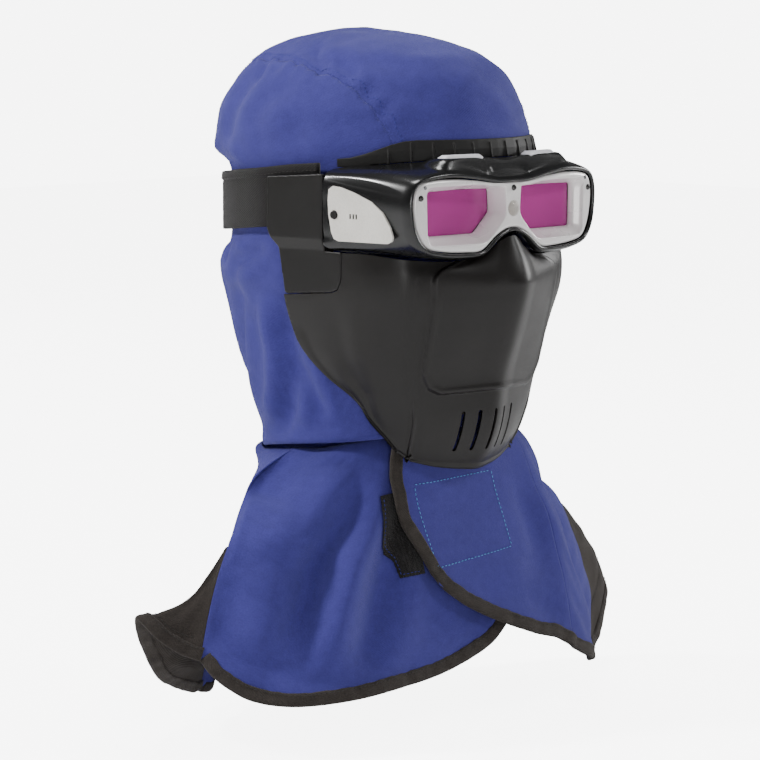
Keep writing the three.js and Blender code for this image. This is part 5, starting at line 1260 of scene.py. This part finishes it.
def mask_mesh():
    nu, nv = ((321, 230))
    G, s, t = mask_grid(nu, nv)
    n = normals_of(G)
    if n[nu // 2, nv // 2] @ np.array([0, -1.0, 0]) < 0:
        n = -n
    S, T = np.meshgrid(s, t, indexing="ij")
    # raised middle panel, bounded by a small step
    half = np.array([(0.357, -0.2), (0.357, 0.141), (0.364, 0.273), (0.373, 0.409), (0.374, 0.483), (0.336, 0.545), (0.285, 0.572), (0.0, 0.562)])
    poly = np.vstack([half, half[::-1][1:] * [-1, 1]])
    sc = np.array([130.0, 150.0])
    pts = np.stack([np.abs(S).ravel() * np.sign(S).ravel(), T.ravel()], 1)
    d = poly_sdf(pts * sc, poly * sc).reshape(S.shape)
    lift = 1.9 * smooth(1.3, -1.3, d) * smooth(0.0, 0.12, T + 0.05)
    ridge = 0.45 * np.exp(-((d + 2.2) / 2.0) ** 2)
    D = lift + ridge
    # soft crease running down from the panel's corner and a hollow on the cheek
    Sa = np.abs(S)
    L = np.array([(0.441, 0.60), (0.42, 0.8), (0.40, 1.0)]) * sc
    c = crease(np.stack([Sa.ravel(), T.ravel()], 1) * sc, L, 3.0, 0.9).reshape(S.shape)
    D += c
    L = np.array([(0.892, 0.193), (0.87, 0.343), (0.835, 0.473), (0.824, 0.568), (0.871, 0.697)]) * sc
    D += crease(np.stack([Sa.ravel(), T.ravel()], 1) * sc, L, 4.5, -0.8).reshape(S.shape)
    # rolled lower lip
    D += 0.9 * smooth(0.955, 0.985, T)
    D += 0.8 * smooth(0.965, 0.985, Sa) * smooth(0.3, 0.36, T)
    G = G + n * D[..., None]
    return G


G = mask_mesh()
mask = grid("mask_moulding", G)
fix_side(mask, (0, -1, 0))
NOTCH = [[-54.15, 60], [-54.15, -36], [-53.6, -42.3], [-50.8, -47.4], [-46, -49.2], [-12, -51.8], [20, -54], [20, 60]]
iso_cut(mask, lambda p: np.where(np.abs(p[:, 0]) > 60, poly_sdf(p[:, [1, 2]], NOTCH), 5.0), lambda v: v > 0)


def slots(p):
    v = np.full(len(p), 5.0)
    for x in (-21, -10.5, 0, 10.5, 21):
        top = -122 + 0.045 * x
        lo, hi = -148.0 + 1.0, top - 1.0
        dz = np.maximum(np.maximum(lo - p[:, 2], p[:, 2] - hi), 0)
        v = np.minimum(v, np.hypot(p[:, 0] - x, dz) - 1.15)
    return np.where(p[:, 1] < -60, v, 5.0)


iso_cut(mask, slots, lambda v: v > 0)
thick(mask, 2.1)
bv = mask.modifiers.new("edge", "BEVEL")
bv.width = 0.45 * MM
bv.segments = 2
bv.limit_method = "ANGLE"
bv.angle_limit = math.radians(50)
mask.data.materials.append(MASK_BLACK)
put(mask, "mask", "mask_black", "mask_shell")

# ------------------------------------------------------------------ goggles
BEZ = np.array([[0, 16.6], [14, 16.8], [32, 19], [50, 20.2], [66, 19.6], [74.5, 17], [77.8, 10], [77.6, 0], [74.5, -11.5], [68, -20], [56, -22.8], [38, -24], [26, -23.4], [14.5, -15.5], [6, -11.6], [0, -10.8]], float)
RIMO = np.array([[0, 19.8], [14, 20.2], [32, 23.5], [50, 25.8], [67, 24], [78.5, 19.5], [83.2, 10.5], [83.2, -2], [80.5, -14], [72, -23], [57, -27], [38, -28.2], [24, -26.6], [12.5, -18.6], [5.5, -15], [0, -14]], float)
REAR = np.array([[0, 31, -102.6], [15, 31, -101.2], [33, 30.6, -95.6], [52, 29.5, -83.8], [70, 27.5, -62], [84, 25, -44], [91, 19, -42], [91.4, 2, -42.0], [91.2, -14, -42.6], [89, -22.5, -45], [68, -27.0, -70], [42, -27.5, -86], [26, -26, -93], [13.5, -19, -98.5], [6, -15.6, -100.5], [0, -14.6, -101]], float)
LIFT = np.array([0.75, 0.75, 0.7, 0.6, 0.5, 0.5, 0.5, 0.5, 0.5, 0.5, 0.5, 0.5, 0.5, 0.5, 0.5, 0.5])


def around(half, k):
    """Smooth closed loop through a mirrored half outline, with k points per span."""
    full = np.vstack([half, half[-2:0:-1] * np.array([-1.0] + [1.0] * (half.shape[1] - 1))])
    q = np.vstack([full[-1:], full, full[:2]])
    x = 1 + np.arange(len(full) * k) / k
    return spline(q, x)


def fronty(x):
    return -113 + 0.00113 * x * x


def shell_grid(k, ts):
    B, R, E = around(BEZ, k), around(RIMO, k), around(REAR, k)
    LF = around(np.stack([BEZ[:, 0], LIFT], 1), k)[:, 1]
    rows = []
    for t in ts:
        if t <= 0.15:
            q = t / 0.15
            c = B + (R - B) * (0.45 + 0.55 * q)
            rows.append(np.stack([c[:, 0], fronty(c[:, 0]) - 0.8 + 4.3 * q * q, c[:, 1]], 1))
        else:
            q = (t - 0.15) / 0.85
            y0 = fronty(R[:, 0]) + 3.5
            kz = LF * q / 0.5 if q < 0.5 else LF + (1 - LF) * (q - 0.5) / 0.5
            kz = np.clip(kz, 0, 1)
            kz = np.where(R[:, 1] > 12, 1 - (1 - q) ** 3, kz)
            rows.append(np.stack([R[:, 0] + (E[:, 0] - R[:, 0]) * q, y0 + (E[:, 2] - y0) * q, R[:, 1] + (E[:, 1] - R[:, 1]) * kz], 1))
    return np.stack(rows, 1)
def loops_mesh(name, L, mat, closed=True, out=(0, -1, 0)):
    """Surface through a list of loops with the same number of points."""
    G = np.stack(L, 1)
    o = grid(name, G, closed=closed)
    o.data.materials.append(mat)
    return o


def inset_loop(P, w):
    """Loop of 3-D points moved inwards by w in the front view."""
    d = np.roll(P, -1, 0)[:, [0, 2]] - np.roll(P, 1, 0)[:, [0, 2]]
    d /= np.maximum(np.linalg.norm(d, axis=1, keepdims=True), 1e-9)
    n = np.stack([d[:, 1], -d[:, 0]], 1)
    c = P[:, [0, 2]].mean(0)
    if ((P[:, [0, 2]] + n * 0.1 - c) ** 2).sum() > ((P[:, [0, 2]] - c) ** 2).sum():
        n = -n
    Q = P.copy()
    Q[:, 0] += n[:, 0] * w
    Q[:, 2] += n[:, 1] * w
    return Q


PLATE = [[-50, 15.5], [-46.8, 13.2], [-46.2, 7.1], [-46.7, -1.7], [-48.9, -12.5], [-50.9, -16.2], [-54.3, -17.4], [-91, -17.2], [-94.4, -15.6], [-95.2, -13.2], [-93.2, -7.5], [-87.6, 0.9], [-79.1, 7.2], [-66.4, 12], [-56, 14.9]]
SA = -math.atan(7 / 59)
CS, SN = math.cos(SA), math.sin(SA)
PLOC = np.array([[(y + 45) / CS, z] for y, z in PLATE])

def rounded(poly, r, n=6):
    """Closed polygon with its corners rounded; the same number of points for each corner."""
    poly = np.array(poly, float)
    out = []
    m = len(poly)
    for i in range(m):
        a, b, c = poly[i - 1], poly[i], poly[(i + 1) % m]
        la, lc = np.linalg.norm(a - b), np.linalg.norm(c - b)
        ra, rc = min(r, la * 0.48), min(r, lc * 0.48)
        p0, p2 = b + (a - b) / la * ra, b + (c - b) / lc * rc
        for t in np.linspace(0, 1, n):
            out.append((1 - t) ** 2 * p0 + 2 * t * (1 - t) * b + t * t * p2)
    return np.array(out)


kk = 12
ts = [0, 0.03, 0.06, 0.09, 0.12, 0.15] + list(np.linspace(0.17, 1.0, 60))
G = shell_grid(kk, ts)
n = normals_of(G, True)
ctr = np.array([0, -70.0, 0])
if ((G - ctr) * n).sum() < 0:
    n = -n
# rounded rim crest
H0 = G[:, 0]
lip = [inset_loop(H0, w) + np.array([0, dy, 0]) for w, dy in ((1.5, 1.6), (1.3, 0.7), (0.7, 0.12))]
G = np.concatenate([np.stack(lip, 1), G], 1)
n_top = normals_of(G, True)[..., 2]
if n_top[0, G.shape[1] // 2] < 0:
    n_top = -n_top
# top swells up round the two buttons, with a recess under each
BY = -101.8
band = []
for x, y in rounded([[-50, -4.6], [-25, -4.6], [0, -4.6], [25, -4.6], [50, -4.6], [50, 4.6], [25, 4.6], [0, 4.6], [-25, 4.6], [-50, 4.6]], 3.0, 4):
    xx = abs(x) - 34
    band.append((x, BY + y + xx * xx / 260 + 0.16 * xx))
sd = poly_sdf(np.stack([G[..., 0].ravel(), G[..., 1].ravel()], 1), band).reshape(G.shape[:2])
on_top = (G[..., 2] > 14) & (n_top > 0.3)
z = G[..., 2]
top_z = 32.2 - 2.0 * np.exp(-((G[..., 0] / 12.0) ** 2))
G[..., 2] = np.where(on_top & (sd < 10.0), z + (np.maximum(z, top_z) - z) * smooth(9.5, 0.5, sd) * smooth(-109.6, -106.6, G[..., 1]), z)
# pocket for the side plates
sg = np.sign(G[..., 0])
off = (np.abs(G[..., 0]) - 91.2) * CS + (G[..., 1] + 45) * SN
loc = -(np.abs(G[..., 0]) - 91.2) * SN + (G[..., 1] + 45) * CS
sd = poly_sdf(np.stack([loc.ravel(), G[..., 2].ravel()], 1), PLOC).reshape(loc.shape)
inp = (np.abs(G[..., 0]) > 60) & (sd < 0.5)
mv = np.where(inp, np.minimum(off, -0.45) - off, 0)
G[..., 0] += sg * mv * CS
G[..., 1] += mv * SN
housing = grid("goggle_shell", G, closed=True)
fix_normals(housing)
for s in (-1, 1):
    foot = []
    for x, y in rounded([[-15.5, -3.75], [-5, -3.75], [5, -3.75], [15.5, -3.75], [15.5, 3.75], [5, 3.75], [-5, 3.75], [-15.5, 3.75]], 3.2, 6):
        foot.append((s * (34 + x), BY + y + x * x / 260 + 0.16 * x))
    iso_cut(housing, lambda p: np.where(p[:, 2] > 24, poly_sdf(p[:, :2], foot) - 0.4, 5.0), lambda v: v > 0)
thick(housing, 2.0)
housing.data.materials.append(GLOSS)
put(housing, "goggles", "shell_black", "goggle_housing")


WIN = [[9.5, 12.6], [36, 13.4], [62.6, 13], [63.6, 11.5], [63.2, -12.6], [61.8, -13.8], [23, -13.9], [20.8, -13], [9.2, -2], [8.6, 0]]
WBIG = [[7.2, 15.2], [36, 16.2], [67, 15.8], [69, 13], [68.2, -14.6], [65.5, -18.6], [25, -18.8], [20, -17], [7.4, -4.6], [6, -1]]
wb, ws = rounded(WBIG, 3.0), rounded(WIN, 2.0)
outer = around(BEZ, 8)
o3 = np.stack([outer[:, 0], fronty(outer[:, 0]), outer[:, 1]], 1)
rows = []
for w, dy in ((2.2, 0.0), (1.5, 0.12), (0.9, 0.4), (0.4, 0.8), (0.1, 1.25), (0.0, 1.8)):
    q = inset_loop(o3, w)
    rows.append(np.stack([q[:, 0], fronty(q[:, 0]) + dy, q[:, 2]], 1))
rows.append(np.stack([outer[:, 0], np.full(len(outer), -101.0), outer[:, 1]], 1))
rim = loops_mesh("bezel_rim", rows, BEZEL)
xs, zs = np.linspace(-78, 78, 210), np.linspace(-25, 21, 70)
X, Z = np.meshgrid(xs, zs, indexing="ij")
face = grid("bezel_face", np.stack([X, fronty(X), Z], -1))
inner_o = inset_loop(o3, 2.2)[:, [0, 2]]
lipw = 0.9
iso_cut(face, lambda p: poly_sdf(p[:, [0, 2]], inner_o), lambda v: v < 0)
WB2 = (wb - wb.mean(0)) * [1.024, 1.05] + wb.mean(0)
iso_cut(face, lambda p: poly_sdf(np.stack([np.abs(p[:, 0]), p[:, 2]], 1), WB2), lambda v: v > 0)
ring_p = [(4.9 * math.cos(a), 0.8 + 4.9 * math.sin(a)) for a in np.arange(40) * math.pi / 20]
iso_cut(face, lambda p: poly_sdf(p[:, [0, 2]], ring_p), lambda v: v > 0)
parts = [rim, face]
an = np.arange(40) * math.pi / 20
parts.append(loops_mesh("bezel_lamp", [np.stack([r * np.cos(an), np.full(40, y), 0.8 + r * np.sin(an)], 1) for r, y in ((5.0, -113.0), (4.8, -112.4), (4.6, -110.0), (4.4, -105.0), (2.4, -101.8))], BEZEL))
for s in (-1, 1):
    L = [np.stack([s * WB2[:, 0], fronty(WB2[:, 0]), WB2[:, 1]], 1)]
    for f, dy in ((0.55, 0.1), (0.2, 0.4), (0.0, 0.9)):
        q = wb + (WB2 - wb) * f
        L.append(np.stack([s * q[:, 0], fronty(q[:, 0]) + dy, q[:, 1]], 1))
    a, b = L[-1], np.stack([s * ws[:, 0], np.full(len(ws), -102.0), ws[:, 1]], 1)
    L += [a + (b - a) * t for t in (0.33, 0.66, 1.0)]
    L.append(np.stack([s * ws[:, 0], np.full(len(ws), -99.6), ws[:, 1]], 1))
    parts.append(loops_mesh(f"bezel_window_{'l' if s > 0 else 'r'}", L, BEZEL))
bm = bmesh.new()
for q in parts:
    bm.from_mesh(q.data)
for q in parts:
    bpy.data.objects.remove(q)
bmesh.ops.remove_doubles(bm, verts=bm.verts, dist=0.00004)
bmesh.ops.recalc_face_normals(bm, faces=bm.faces)
me = bpy.data.meshes.new("bezel_moulding")
bm.to_mesh(me)
bm.free()
me.polygons.foreach_set("use_smooth", [True] * len(me.polygons))
bezel = link(bpy.data.objects.new("bezel_moulding", me))
tot = Vector((0, 0, 0))
for p in me.polygons:
    if abs(p.normal.y) > 0.9:
        tot += p.normal * p.area
if tot.y > 0:
    bm = bmesh.new()
    bm.from_mesh(me)
    bmesh.ops.reverse_faces(bm, faces=bm.faces)
    bm.to_mesh(me)
    bm.free()
me.materials.clear()
me.materials.append(BEZEL)
put(bezel, "goggles", "silver", "front_bezel")

CADN = {o.name: o for o in bpy.data.objects if o.get("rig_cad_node")}


def finish_node(name, mat, bevel=0.3, remesh=None, smooth_n=0):
    o = CADN[name]
    if o.hide_render:
        return
    o.data.materials.clear()
    o.data.materials.append(mat)
    if remesh:
        m = o.modifiers.new("remesh", "REMESH")
        m.mode = "VOXEL"
        m.voxel_size = remesh * MM * 1
        m.use_smooth_shade = True
        if smooth_n:
            s = o.modifiers.new("smooth", "SMOOTH")
            s.factor = 0.5
            s.iterations = smooth_n
    elif bevel:
        m = o.modifiers.new("bevel", "BEVEL")
        m.width = bevel * MM
        m.segments = 3
        m.limit_method = "ANGLE"
        m.angle_limit = math.radians(40)
        m.harden_normals = False
        w = o.modifiers.new("normals", "WEIGHTED_NORMAL")
        w.keep_sharp = False


finish_node("side_plate_left", SILVER, 0.2)
finish_node("side_plate_right", SILVER, 0.2)
for k in (1, 2, 3):
    finish_node(f"charge_bar_{k}", SENSOR, 0.08)
finish_node("test_button", BRACKET, 0.3)
finish_node("side_bracket_left", BRACKET, None, 0.5, 6)
finish_node("side_bracket_right", BRACKET, None, 0.5, 6)
finish_node("brow_seal", SEAL, None, 0.3, 2)
for k in ("arc_sensor_centre", "arc_sensor_left", "arc_sensor_right"):
    finish_node(k, SENSOR, None, 0.22, 2)
for k in ("bezel_screw_left", "bezel_screw_right"):
    finish_node(k, STEEL, 0.1)
finish_node("work_light_lens", DOME, None, 0.3, 3)
finish_node("work_light_board", GOLD, 0.15)
for k in ("cover_lens_left", "cover_lens_right", "inner_lens_left", "inner_lens_right"):
    finish_node(k, CLEAR, 0.12)
for k in ("shutter_filter_left", "shutter_filter_right"):
    finish_node(k, FILTER, 0.15)
finish_node("filter_carrier", BRACKET, 0.2)
finish_node("main_board", BOARD, 0.1)
finish_node("test_switch", BRACKET, 0.15)
finish_node("battery_cell", CELL, 0.3)
for k in ("shade_button_left", "shade_button_right"):
    finish_node(k, WHITE, None, 0.3, 4)
finish_node("strap_slider", BRACKET, None, 0.35, 3)

# foam pad behind the goggles
pad = CADN["face_pad"].copy()
pad.data = CADN["face_pad"].data.copy()
pad.name = pad.data.name = "face_pad_foam"
for key in list(pad.keys()):
    if key.startswith("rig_"):
        del pad[key]
pad.parent = None
link(pad)
pad.data.materials.clear()
pad.data.materials.append(FOAM)
m = pad.modifiers.new("remesh", "REMESH")
m.mode = "VOXEL"
m.voxel_size = 0.5 * MM
m.use_smooth_shade = True
s_ = pad.modifiers.new("smooth", "SMOOTH")
s_.factor = 0.5
s_.iterations = 8
put(pad, "goggles", "seal_rubber", "face_pad")


# ------------------------------------------------------------------ cloth thickness, with subdivision on the bib and gussets
for o in (crown, side_l, side_r, bib_r, flap, bib_l, bib_b, gus_r, gus_l):
    if o not in (crown, side_l, side_r):
        m = o.modifiers.new("fine", "SUBSURF")
        m.levels = m.render_levels = 1
        m.boundary_smooth = "PRESERVE_CORNERS"
    thick(o, 1.2)

# ------------------------------------------------------------------ floor, light, camera
floor_z = CAD_LO.z * 1000 - 14
bpy.ops.mesh.primitive_plane_add(size=8, location=(0, 0, floor_z * MM))
floor = bpy.context.object
floor.name = "floor"
fm, nt, b = new_mat("pale_floor", (0.9, 0.9, 0.9), 0.9)
seen = node(nt, "ShaderNodeLightPath").outputs["Is Camera Ray"]
b.inputs["Emission Color"].default_value = (1, 1, 1, 1)
ml = node(nt, "ShaderNodeMath", operation="MULTIPLY")
ml.inputs[1].default_value = 6.4
nt.links.new(seen, ml.inputs[0])
nt.links.new(ml.outputs[0], b.inputs["Emission Strength"])
floor.data.materials.append(fm)

world = bpy.data.worlds.new("studio") if not bpy.context.scene.world else bpy.context.scene.world
bpy.context.scene.world = world
world.use_nodes = True
wt = world.node_tree
bg = wt.nodes["Background"]
bg.inputs["Color"].default_value = (1.0, 1.0, 1.0, 1)
seen = node(wt, "ShaderNodeLightPath").outputs["Is Camera Ray"]
ml = node(wt, "ShaderNodeMapRange")
ml.inputs["To Min"].default_value = 0.13
ml.inputs["To Max"].default_value = 7.0
wt.links.new(seen, ml.inputs["Value"])
wt.links.new(ml.outputs["Result"], bg.inputs["Strength"])


def area_light(name, loc, target, size, power, col=(1, 1, 1), sy=None):
    d = bpy.data.lights.new(name, "AREA")
    d.energy = power
    d.size = size
    if sy:
        d.shape = "RECTANGLE"
        d.size_y = sy
    d.color = col
    o = link(bpy.data.objects.new(name, d))
    o.location = loc
    v = Vector(target) - Vector(loc)
    o.rotation_euler = v.to_track_quat("-Z", "Y").to_euler()
    return o


area_light("key", (1.1, -1.8, 1.5), (0, 0, -0.05), 0.45, 17)
area_light("front", (-1.3, -1.9, 0.1), (0, 0, -0.05), 0.5, 8)
area_light("left", (-1.7, 1.1, 1.5), (0, 0, -0.1), 0.35, 60)
area_light("right", (2.0, -0.6, 0.4), (0, 0, -0.1), 0.6, 18)
area_light("top", (-0.2, 0.1, 2.0), (0, 0, 0), 0.6, 20)
area_light("rear", (0.9, 2.1, 0.9), (0, 0, -0.1), 0.8, 12)

az, el, DIST, SC = math.radians(45), math.radians(7), 2200.0, 1.60
U0, V0 = 381, 200
back = Vector((-math.sin(az) * math.cos(el), -math.cos(az) * math.cos(el), math.sin(el)))
right = Vector((math.cos(az), -math.sin(az), 0))
up_v = Vector((math.sin(az) * math.sin(el), math.cos(az) * math.sin(el), math.cos(el)))
T_ = -(U0 - 380) / SC * right - (380 - V0) / SC * up_v
cam_d = bpy.data.cameras.new("camera")
cam = link(bpy.data.objects.new("camera", cam_d))
cam_d.sensor_width = 36
cam_d.lens = 36 * DIST * SC / 760
cam_d.clip_start = 0.05
cam_d.clip_end = 50
cam.matrix_world = Matrix((
    (right.x, up_v.x, back.x, (T_ + back * DIST).x * MM),
    (right.y, up_v.y, back.y, (T_ + back * DIST).y * MM),
    (right.z, up_v.z, back.z, (T_ + back * DIST).z * MM),
    (0, 0, 0, 1),
))
bpy.context.scene.camera = cam
